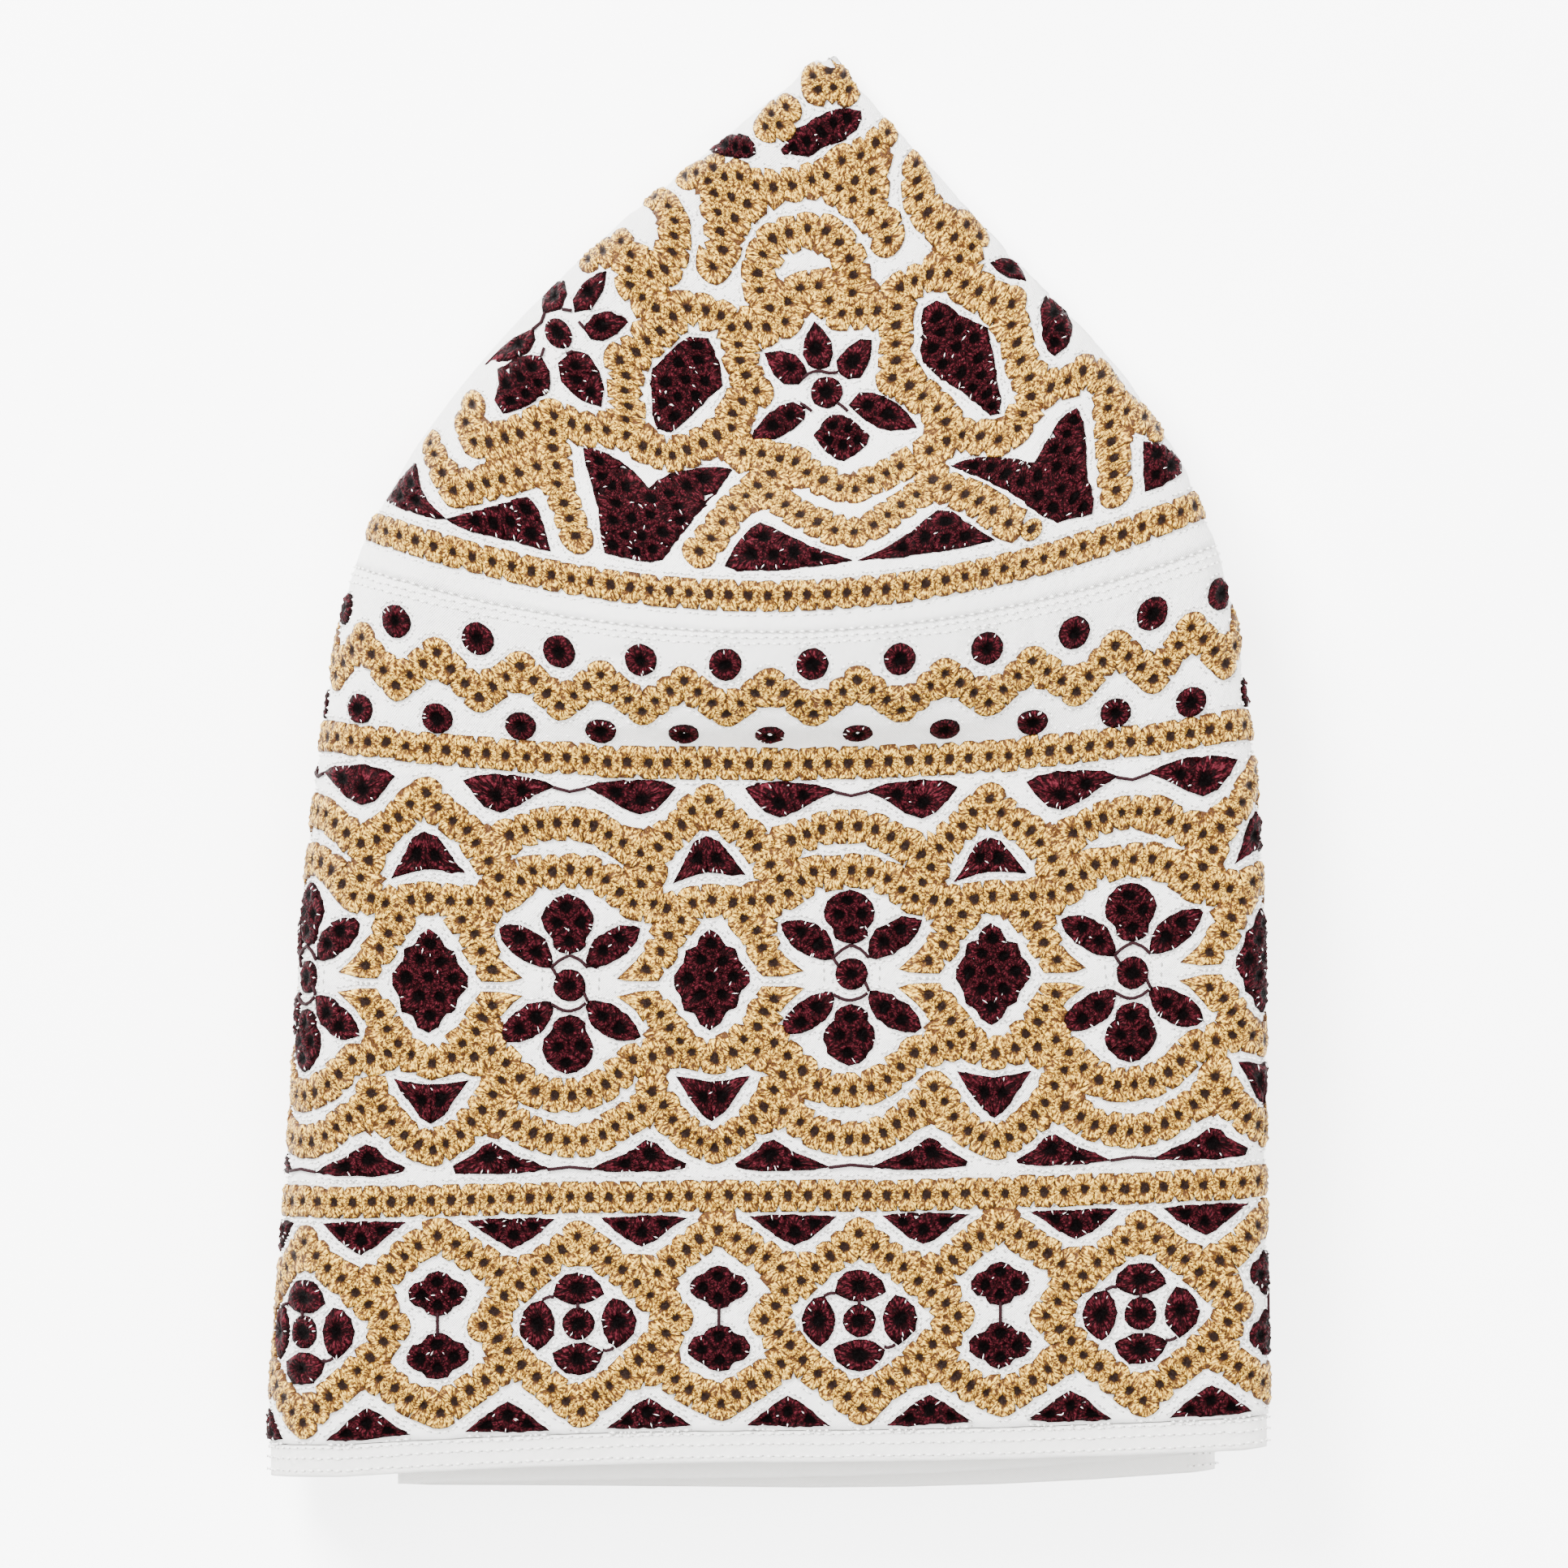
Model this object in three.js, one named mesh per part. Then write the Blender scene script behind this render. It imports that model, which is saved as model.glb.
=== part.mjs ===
// An embroidered prayer cap of the kuma kind, folded flat in quarters as it is stored.
// A round crown is sewn to a straight side band, and a hem binding closes the band's lower edge.
// The cap is first pressed to two layers and then folded over once more, so each section across it
// is a flat tube bent into a C: a front panel, a fold at the right, two inner panels that turn round
// a tight fold at the left, a second fold at the right, a back panel, and one wide fold at the left.
// X runs across the folded cap, Y from the hem to the tip of the crown, and Z up from the surface
// that the back panel lies on. All lengths are in millimetres.

import * as THREE from "three";

// The cloth
const headCircumference = 574;
const bandHeight = 118.5;
const hemHeight = 4.8;
const wall = 2;
const seamGap = 0.3;

// The fold
const stackHeight = 24;
const slotHeight = 5;
const slotDepth = 0.9; // how far the inner fold reaches towards the wide one, as a share of the panel's width
const puffHeight = 9;
const crownLay = 0.918; // the share of the crown's radius that the puffed front panel shows from above
const backDrop = 3.2; // how much lower the back panel's hem hangs than the front's
const tipHeight = 7.6;
const tipSlot = 0.8;
const noseBluntness = 2.4; // 1 is a point, and more is blunter

// The seam: the crown's edge lies a little under the band's top edge
const seamStep = 0.8;
const seamFade = 9;
const leastHollow = 0.4; // half the least height of the space inside a layer pair, near the nose

// Worked out from the sizes above
const quarter = headCircumference / 4;
const crownRadius = headCircumference / (2 * Math.PI);
const crownReach = crownRadius * crownLay;

// One row for each section across the band, from the hem's edge to the crown seam.
// up is a share of the band's height above the hem strip. left, right and under are the outermost
// points of the wide fold, the upper right fold and the lower right fold, as shares of a quarter of
// the head size. riseLeft and riseRight say how far the row curves up at its ends, as shares of the
// band's height. stack and puff are shares of the stack's height and of the puff's.
const bandRows = [
  { up: 0.0, left: -0.513, right: 0.513, under: 0.463, riseLeft: -0.004, riseRight: 0.034, stack: 0.97, puff: 0 },
  { up: 0.14, left: -0.506, right: 0.511, under: 0.469, riseLeft: -0.003, riseRight: 0.03, stack: 1, puff: 0.02 },
  { up: 0.3, left: -0.496, right: 0.509, under: 0.474, riseLeft: 0.004, riseRight: 0.03, stack: 1, puff: 0.04 },
  { up: 0.46, left: -0.487, right: 0.509, under: 0.478, riseLeft: 0.008, riseRight: 0.028, stack: 1, puff: 0.05 },
  { up: 0.6, left: -0.481, right: 0.508, under: 0.481, riseLeft: 0.012, riseRight: 0.026, stack: 1, puff: 0.04 },
  { up: 0.73, left: -0.47, right: 0.502, under: 0.484, riseLeft: 0.02, riseRight: 0.034, stack: 1, puff: 0.02 },
  { up: 0.82, left: -0.461, right: 0.496, under: 0.486, riseLeft: 0.028, riseRight: 0.042, stack: 1, puff: 0 },
  { up: 0.852, left: -0.456, right: 0.491, under: 0.485, riseLeft: 0.036, riseRight: 0.05, stack: 1, puff: 0.04 },
  { up: 0.876, left: -0.452, right: 0.487, under: 0.484, riseLeft: 0.048, riseRight: 0.062, stack: 1.01, puff: 0.46 },
  { up: 0.912, left: -0.446, right: 0.482, under: 0.48, riseLeft: 0.058, riseRight: 0.078, stack: 1.02, puff: 0.76 },
  { up: 0.955, left: -0.436, right: 0.471, under: 0.47, riseLeft: 0.075, riseRight: 0.094, stack: 1.03, puff: 0.93 },
  { up: 1.0, left: -0.422, right: 0.456, under: 0.456, riseLeft: 0.084, riseRight: 0.11, stack: 1.04, puff: 1 },
];

// The crown's sections, from just past the seam to the last one before its rounded nose.
// up is a share of the crown's reach, middle the point that the row is lowest at, as a share of the
// quarter, and depth a share of the slot's depth.
const crownRows = [
  { up: 0.055, middle: 0.0, left: -0.409, right: 0.442, under: 0.443, riseLeft: 0.127, riseRight: 0.163, stack: 1.04, puff: 0.98, depth: 1 },
  { up: 0.125, middle: 0.005, left: -0.384, right: 0.424, under: 0.426, riseLeft: 0.128, riseRight: 0.164, stack: 1.01, puff: 0.86, depth: 1 },
  { up: 0.196, middle: 0.01, left: -0.361, right: 0.401, under: 0.404, riseLeft: 0.124, riseRight: 0.157, stack: 0.96, puff: 0.6, depth: 1 },
  { up: 0.255, middle: 0.014, left: -0.338, right: 0.381, under: 0.384, riseLeft: 0.12, riseRight: 0.15, stack: 0.9, puff: 0.28, depth: 1 },
  { up: 0.31, middle: 0.018, left: -0.315, right: 0.36, under: 0.363, riseLeft: 0.117, riseRight: 0.143, stack: 0.85, puff: 0.14, depth: 1 },
  { up: 0.416, middle: 0.026, left: -0.267, right: 0.3115, under: 0.315, riseLeft: 0.107, riseRight: 0.128, stack: 0.75, puff: 0.07, depth: 1 },
  { up: 0.537, middle: 0.034, left: -0.207, right: 0.255, under: 0.258, riseLeft: 0.093, riseRight: 0.107, stack: 0.65, puff: 0.04, depth: 1 },
  { up: 0.678, middle: 0.043, left: -0.13, right: 0.196, under: 0.198, riseLeft: 0.071, riseRight: 0.078, stack: 0.54, puff: 0.02, depth: 0.97 },
  { up: 0.82, middle: 0.05, left: -0.048, right: 0.14, under: 0.14, riseLeft: 0.043, riseRight: 0.046, stack: 0.43, puff: 0, depth: 0.8 },
  { up: 0.905, middle: 0.054, left: 0.0, right: 0.104, under: 0.104, riseLeft: 0.026, riseRight: 0.028, stack: 0.36, puff: 0, depth: 0.3 },
  { up: 0.955, middle: 0.0565, left: 0.025, right: 0.088, under: 0.088, riseLeft: 0.01, riseRight: 0.01, stack: 0.317, puff: 0, depth: 0 },
];
const noseSteps = 5;

// Faces along each stretch of the C, in the order in which section() walks it
const faceCounts = {
  front: 20,
  upperFold: 7,
  innerFront: 6,
  innerFold: 6,
  innerBack: 6,
  lowerFold: 7,
  back: 6,
  wideFold: 12,
};
const stretches = Object.keys(faceCounts);
const stepsPerRow = { band: 1, crown: 2, lining: 1 }; // sections from one row of the tables to the next

// The tables' rows as lengths, with the crown's rounded nose added at the end.
function sectionRows() {
  const band = bandRows.map((row) => ({
    y: hemHeight + row.up * bandHeight,
    middle: 0,
    left: row.left * quarter,
    right: row.right * quarter,
    under: row.under * quarter,
    riseLeft: row.riseLeft * bandHeight,
    riseRight: row.riseRight * bandHeight,
    stack: row.stack * stackHeight,
    slot: slotHeight,
    puff: row.puff * puffHeight,
    depth: slotDepth,
    drop: backDrop * (1 - row.up),
    lift: 0,
  }));
  const seamY = hemHeight + bandHeight;
  const crown = crownRows.map((row) => ({
    y: seamY + row.up * crownReach,
    middle: row.middle * quarter,
    left: row.left * quarter,
    right: row.right * quarter,
    under: row.under * quarter,
    riseLeft: row.riseLeft * crownReach,
    riseRight: row.riseRight * crownReach,
    stack: Math.max(row.stack * stackHeight, tipHeight),
    slot: THREE.MathUtils.lerp(slotHeight, tipSlot, Math.min(1, row.up / 0.9)),
    puff: row.puff * puffHeight,
    depth: row.depth * slotDepth,
    drop: 0,
    lift: 0,
  }));
  const hem = { ...band[0], y: 0 };
  const last = crown[crown.length - 1];
  const noseLength = seamY + crownReach - last.y;
  const centre = (last.left + last.right) / 2;
  const nose = Array.from({ length: noseSteps }, (_, i) => {
    const size = 1 - (i + 1) / (noseSteps + 0.4);
    const along = 1 - size ** noseBluntness;
    return {
      ...last,
      y: last.y + along * noseLength,
      middle: centre,
      left: centre + (last.left - centre) * size,
      right: centre + (last.right - centre) * size,
      under: centre + (last.under - centre) * size,
      riseLeft: last.riseLeft * size,
      riseRight: last.riseRight * size,
      stack: last.stack * size,
      slot: last.slot * size,
      lift: (last.stack * (1 - size)) / 2,
    };
  });
  return { rows: [hem, ...band, ...crown, ...nose], seamRow: band.length, crownEnd: band.length + crown.length };
}

const { rows, seamRow, crownEnd } = sectionRows();

// The size called name at row position v, on a curve through the rows that never overshoots them.
function sizeAt(name, v) {
  const i = Math.min(Math.floor(v), rows.length - 2);
  const t = v - i;
  const value = (k) => rows[THREE.MathUtils.clamp(k, 0, rows.length - 1)][name];
  const length = (k) => rows[THREE.MathUtils.clamp(k, 0, rows.length - 1)].y;
  const slope = (k) => {
    const run = length(k + 1) - length(k);
    return run > 0 ? (value(k + 1) - value(k)) / run : 0;
  };
  const tangent = (k) => {
    const before = k > 0 ? slope(k - 1) : slope(k);
    const after = k < rows.length - 1 ? slope(k) : slope(k - 1);
    return before * after > 0 ? (2 * before * after) / (before + after) : 0;
  };
  const run = length(i + 1) - length(i);
  const t2 = t * t;
  const t3 = t2 * t;
  return (
    value(i) * (2 * t3 - 3 * t2 + 1) +
    value(i + 1) * (3 * t2 - 2 * t3) +
    run * (tangent(i) * (t3 - 2 * t2 + t) + tangent(i + 1) * (t3 - t2))
  );
}

// The section at row position v, as lengths.
function sizesAt(v) {
  const names = Object.keys(rows[0]).filter((name) => name !== "y");
  const sizes = Object.fromEntries(names.map((name) => [name, sizeAt(name, v)]));
  const i = Math.min(Math.floor(v), rows.length - 2);
  sizes.y = THREE.MathUtils.lerp(rows[i].y, rows[i + 1].y, v - i);
  sizes.wideRadius = sizes.stack / 2;
  sizes.foldRadius = (sizes.stack - sizes.slot) / 4;
  const innerEnd = sizes.left + sizes.wideRadius;
  const innerStart = Math.min(sizes.right, sizes.under) - sizes.foldRadius;
  sizes.inner = THREE.MathUtils.lerp(innerStart - sizes.slot / 4, innerEnd, sizes.depth);
  return sizes;
}

// How high a section's front panel stands at x: flat at its two ends, with a soft puff between them.
function frontHeight(sizes, x) {
  const from = sizes.left + sizes.wideRadius;
  const to = sizes.right - sizes.foldRadius;
  const share = THREE.MathUtils.clamp((2 * x - from - to) / (to - from), -1, 1);
  return sizes.stack + sizes.puff * (1 - share ** 2) ** 2;
}

// A point of the C's outer side. along counts stretches, and its fraction is the place on that one.
function outlinePoint(sizes, along) {
  const stretch = stretches[Math.floor(along) % stretches.length];
  const t = along - Math.floor(along);
  const { left, right, under, inner, stack, slot, wideRadius, foldRadius } = sizes;
  const slotTop = (stack + slot) / 2;
  const slotBase = (stack - slot) / 2;
  const arc = (x, z, radius, from, sweep) => {
    const angle = from + sweep * t;
    return [x + radius * Math.cos(angle), z + radius * Math.sin(angle)];
  };
  const line = (from, to, z) => [THREE.MathUtils.lerp(from, to, t), z];
  const innerRight = right - foldRadius;
  const underRight = under - foldRadius;
  switch (stretch) {
    case "front": {
      const x = THREE.MathUtils.lerp(left + wideRadius, innerRight, t);
      return [x, frontHeight(sizes, x)];
    }
    case "upperFold":
      return arc(innerRight, stack - foldRadius, foldRadius, Math.PI / 2, -Math.PI);
    case "innerFront":
      return line(innerRight, inner, slotTop);
    case "innerFold":
      return arc(inner, stack / 2, slot / 2, Math.PI / 2, Math.PI);
    case "innerBack":
      return line(inner, underRight, slotBase);
    case "lowerFold":
      return arc(underRight, foldRadius, foldRadius, Math.PI / 2, -Math.PI);
    case "back":
      return line(underRight, left + wideRadius, 0);
    default:
      return arc(left + wideRadius, wideRadius, wideRadius, -Math.PI / 2, -Math.PI);
  }
}

// The share of the back panel's drop that each stretch takes up, from its start to its end.
const dropShares = {
  front: [0, 0],
  upperFold: [0, 0],
  innerFront: [0, 0.4],
  innerFold: [0.4, 0.6],
  innerBack: [0.6, 1],
  lowerFold: [1, 1],
  back: [1, 0],
  wideFold: [0, 0],
};

// The point at row position v that lies a depth of sunk under the cap's outer surface.
function wallPoint(along, v, sunk) {
  const sizes = sizesAt(v);
  const count = stretches.length;
  const step = 1e-3;
  const [x, z] = outlinePoint(sizes, along);
  const [xBefore, zBefore] = outlinePoint(sizes, (along - step + count) % count);
  const [xAfter, zAfter] = outlinePoint(sizes, (along + step) % count);
  const direction = new THREE.Vector2(xAfter - xBefore, zAfter - zBefore).normalize();
  const fromMiddle = x - sizes.middle;
  const rise =
    fromMiddle < 0
      ? sizes.riseLeft * (fromMiddle / (sizes.left - sizes.middle)) ** 2
      : sizes.riseRight * (fromMiddle / (sizes.right - sizes.middle)) ** 2;
  const stretch = Math.floor(along) % count;
  const [dropFrom, dropTo] = dropShares[stretches[stretch]];
  const drop = sizes.drop * THREE.MathUtils.lerp(dropFrom, dropTo, along - stretch);
  return new THREE.Vector3(x + direction.y * sunk, sizes.y + rise - drop, z + sizes.lift - direction.x * sunk);
}

// A closed ring of points round the C at row position v, a depth of sunk under the outer surface.
function ring(v, sunk) {
  return stretches.flatMap((name, s) =>
    Array.from({ length: faceCounts[name] }, (_, i) => wallPoint(s + i / faceCounts[name], v, sunk)),
  );
}

// The row position where the surface's middle line reaches height y.
function rowAt(y) {
  const i = rows.findIndex((row, k) => k === rows.length - 2 || rows[k + 1].y >= y);
  return i + (y - rows[i].y) / (rows[i + 1].y - rows[i].y);
}

// Row positions from one to another: both ends, and between them the tables' rows and even steps.
function positions(from, to, perRow) {
  const closest = 0.2 / perRow;
  const inside = [];
  for (let k = Math.ceil(from * perRow); k <= to * perRow; k += 1) {
    const v = k / perRow;
    if (v > from + closest && v < to - closest) inside.push(v);
  }
  return [from, ...inside, to];
}

// Collects rings, the strips between them and flat caps into one closed geometry.
class Shell {
  points = [];
  faces = [];

  addRing(ringPoints) {
    const first = this.points.length;
    this.points.push(...ringPoints);
    return ringPoints.map((_, i) => first + i);
  }

  join(lower, upper) {
    lower.forEach((a, i) => {
      const next = (i + 1) % lower.length;
      this.faces.push([a, lower[next], upper[i]], [lower[next], upper[next], upper[i]]);
    });
  }

  joinAll(rings) {
    rings.slice(1).forEach((upper, i) => this.join(rings[i], upper));
  }

  cap(ringIndices, facesUp) {
    const outline = ringIndices.map((i) => new THREE.Vector2(this.points[i].x, this.points[i].z));
    const clockwise = THREE.ShapeUtils.isClockWise(outline);
    for (const [a, b, c] of THREE.ShapeUtils.triangulateShape(outline, [])) {
      const face = [ringIndices[a], ringIndices[b], ringIndices[c]];
      this.faces.push(clockwise === facesUp ? face.reverse() : face);
    }
  }

  geometry() {
    const made = new THREE.BufferGeometry();
    made.setAttribute("position", new THREE.Float32BufferAttribute(this.points.flatMap((p) => p.toArray()), 3));
    made.setIndex(this.faces.flat());
    made.computeVertexNormals();
    return made;
  }
}

// A strip of the cap that is open at both ends, between two row positions.
function openStrip(from, to) {
  const shell = new Shell();
  const places = positions(from, to, stepsPerRow.band);
  const outer = places.map((v) => shell.addRing(ring(v, 0)));
  const inner = places.map((v) => shell.addRing(ring(v, wall)));
  shell.joinAll(outer);
  shell.joinAll([...inner].reverse());
  shell.join(inner[0], outer[0]);
  shell.join(outer[outer.length - 1], inner[inner.length - 1]);
  return shell.geometry();
}

// The crown: closed at its nose, with the hollow ending where the layers press together.
function crownShell(from) {
  const shell = new Shell();
  const start = sizesAt(from).y;
  const sunkAt = (v) => seamStep * THREE.MathUtils.clamp(1 - (sizesAt(v).y - start) / seamFade, 0, 1);
  const hollow = (v) => v <= crownEnd && sizesAt(v).foldRadius > wall + leastHollow;
  const outer = positions(from, rows.length - 1, stepsPerRow.crown).map((v) => shell.addRing(ring(v, sunkAt(v))));
  const inner = positions(from, crownEnd, stepsPerRow.lining)
    .filter(hollow)
    .map((v) => shell.addRing(ring(v, wall + sunkAt(v))));
  shell.joinAll(outer);
  shell.joinAll([...inner].reverse());
  shell.join(inner[0], outer[0]);
  shell.cap(outer[outer.length - 1], true);
  shell.cap(inner[inner.length - 1], false);
  return shell.geometry();
}

const cotton = new THREE.MeshStandardMaterial({ color: "#eeece8", roughness: 0.85, metalness: 0 });
const binding = new THREE.MeshStandardMaterial({ color: "#e9e7e1", roughness: 0.8, metalness: 0 });

function piece(name, geometry, material) {
  const mesh = new THREE.Mesh(geometry, material);
  mesh.name = name;
  return mesh;
}

const hemTop = hemHeight - seamGap / 2;
const bandBase = hemHeight + seamGap / 2;
const seamY = hemHeight + bandHeight;

const cap = new THREE.Group();
cap.add(
  piece("hem_binding", openStrip(0, rowAt(hemTop)), binding),
  piece("side_band", openStrip(rowAt(bandBase), rowAt(seamY - seamGap / 2)), cotton),
  piece("crown", crownShell(rowAt(seamY + seamGap / 2)), cotton),
);

// The origin is under the middle of the folded cap, on the surface that it lies on.
const box = new THREE.Box3().setFromObject(cap);
const centre = box.getCenter(new THREE.Vector3());
cap.position.set(-centre.x, -centre.y, -box.min.z);

export default cap;
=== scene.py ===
"""Dresses the folded prayer cap: white cotton cloth, gold and maroon eyelet work, white stitching."""

from __future__ import annotations

import logging
import math
from collections.abc import Callable
from dataclasses import dataclass, field
from enum import Enum

import bpy
import numpy as np
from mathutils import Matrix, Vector, kdtree

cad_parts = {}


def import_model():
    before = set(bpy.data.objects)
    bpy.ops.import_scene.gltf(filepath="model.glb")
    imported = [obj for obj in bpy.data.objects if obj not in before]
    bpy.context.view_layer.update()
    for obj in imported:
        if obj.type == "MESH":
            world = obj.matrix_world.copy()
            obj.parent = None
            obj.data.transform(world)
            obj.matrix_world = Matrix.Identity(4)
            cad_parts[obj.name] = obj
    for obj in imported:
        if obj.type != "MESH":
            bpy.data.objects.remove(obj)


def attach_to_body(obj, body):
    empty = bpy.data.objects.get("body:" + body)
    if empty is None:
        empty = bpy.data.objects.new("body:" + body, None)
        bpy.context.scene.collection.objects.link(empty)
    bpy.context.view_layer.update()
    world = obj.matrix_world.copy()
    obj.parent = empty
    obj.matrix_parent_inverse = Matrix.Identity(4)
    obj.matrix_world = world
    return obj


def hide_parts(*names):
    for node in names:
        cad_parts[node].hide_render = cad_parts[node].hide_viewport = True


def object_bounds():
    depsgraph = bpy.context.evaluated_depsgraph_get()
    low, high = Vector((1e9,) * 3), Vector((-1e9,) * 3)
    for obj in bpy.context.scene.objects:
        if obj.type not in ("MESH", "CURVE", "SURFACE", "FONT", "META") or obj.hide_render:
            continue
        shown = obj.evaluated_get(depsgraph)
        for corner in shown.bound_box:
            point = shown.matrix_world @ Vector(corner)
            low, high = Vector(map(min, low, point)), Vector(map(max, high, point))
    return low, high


LOG = logging.getLogger("prayer_cap")

MM = 0.001
PIXEL = 0.1195
PHOTO_SIDE = 1932
PHOTO_MIDDLE_X = 946.5
PHOTO_MIDDLE_Y = 952.5
BODY = "root"
COTTON_SLOT = "embroidered_cotton"
BINDING_SLOT = "binding_cotton"
# One unit of the cloth's own map, in millimetres.
UV_LENGTH = 100.0

Array = np.ndarray
Spot = tuple[float, float]
Colour = tuple[float, float, float]
Stitches = tuple[Array, Array, Array, Array]


class Thread(Enum):
    """The two colours of embroidery thread."""

    GOLD = "gold"
    MAROON = "maroon"


class Panel(Enum):
    """The two outer sides of the folded cap."""

    FRONT = "front"
    BACK = "back"


# Each row of the band: height, left and right edges, under layer's edge, rise at left and right,
# thickness of the stack and puff of the front, all as shares.
BAND_ROWS = (
    (0, -0.513, 0.513, 0.463, -0.004, 0.034, 0.97, 0),
    (0.14, -0.506, 0.511, 0.469, -0.003, 0.03, 1, 0.02),
    (0.3, -0.496, 0.509, 0.474, 0.004, 0.03, 1, 0.04),
    (0.46, -0.487, 0.509, 0.478, 0.008, 0.028, 1, 0.05),
    (0.6, -0.481, 0.508, 0.481, 0.012, 0.026, 1, 0.04),
    (0.73, -0.47, 0.502, 0.484, 0.02, 0.034, 1, 0.02),
    (0.82, -0.461, 0.496, 0.486, 0.028, 0.042, 1, 0),
    (0.852, -0.456, 0.491, 0.485, 0.036, 0.05, 1, 0.04),
    (0.876, -0.452, 0.487, 0.484, 0.048, 0.062, 1.01, 0.46),
    (0.912, -0.446, 0.482, 0.48, 0.058, 0.078, 1.02, 0.76),
    (0.955, -0.436, 0.471, 0.47, 0.075, 0.094, 1.03, 0.93),
    (1, -0.422, 0.456, 0.456, 0.084, 0.11, 1.04, 1),
)

# Each row of the crown: height, middle, left and right edges, under layer's edge, rise at left and
# right, thickness of the stack, puff of the front and depth of the hollow, all as shares.
CROWN_ROWS = (
    (0.055, 0, -0.409, 0.442, 0.443, 0.127, 0.163, 1.04, 0.98, 1),
    (0.125, 0.005, -0.384, 0.424, 0.426, 0.128, 0.164, 1.01, 0.86, 1),
    (0.196, 0.01, -0.361, 0.401, 0.404, 0.124, 0.157, 0.96, 0.6, 1),
    (0.255, 0.014, -0.338, 0.381, 0.384, 0.12, 0.15, 0.9, 0.28, 1),
    (0.31, 0.018, -0.315, 0.36, 0.363, 0.117, 0.143, 0.85, 0.14, 1),
    (0.416, 0.026, -0.267, 0.3115, 0.315, 0.107, 0.128, 0.75, 0.07, 1),
    (0.537, 0.034, -0.207, 0.255, 0.258, 0.093, 0.107, 0.65, 0.04, 1),
    (0.678, 0.043, -0.13, 0.196, 0.198, 0.071, 0.078, 0.54, 0.02, 0.97),
    (0.82, 0.05, -0.048, 0.14, 0.14, 0.043, 0.046, 0.43, 0, 0.8),
    (0.905, 0.054, 0, 0.104, 0.104, 0.026, 0.028, 0.36, 0, 0.3),
    (0.955, 0.0565, 0.025, 0.088, 0.088, 0.01, 0.01, 0.317, 0, 0),
)

# How much of the front's gathering shows at each height.
GATHER_LEVELS = (0, 20, 39.4, 57, 72, 80)
GATHER_SHARES = (1.2, 1.0, 0.85, 0.55, 0.1, 0)

SIZE_NAMES = (
    "middle", "left", "right", "under", "rise_left", "rise_right",
    "stack", "slot", "puff", "depth", "drop", "lift",
)


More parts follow.
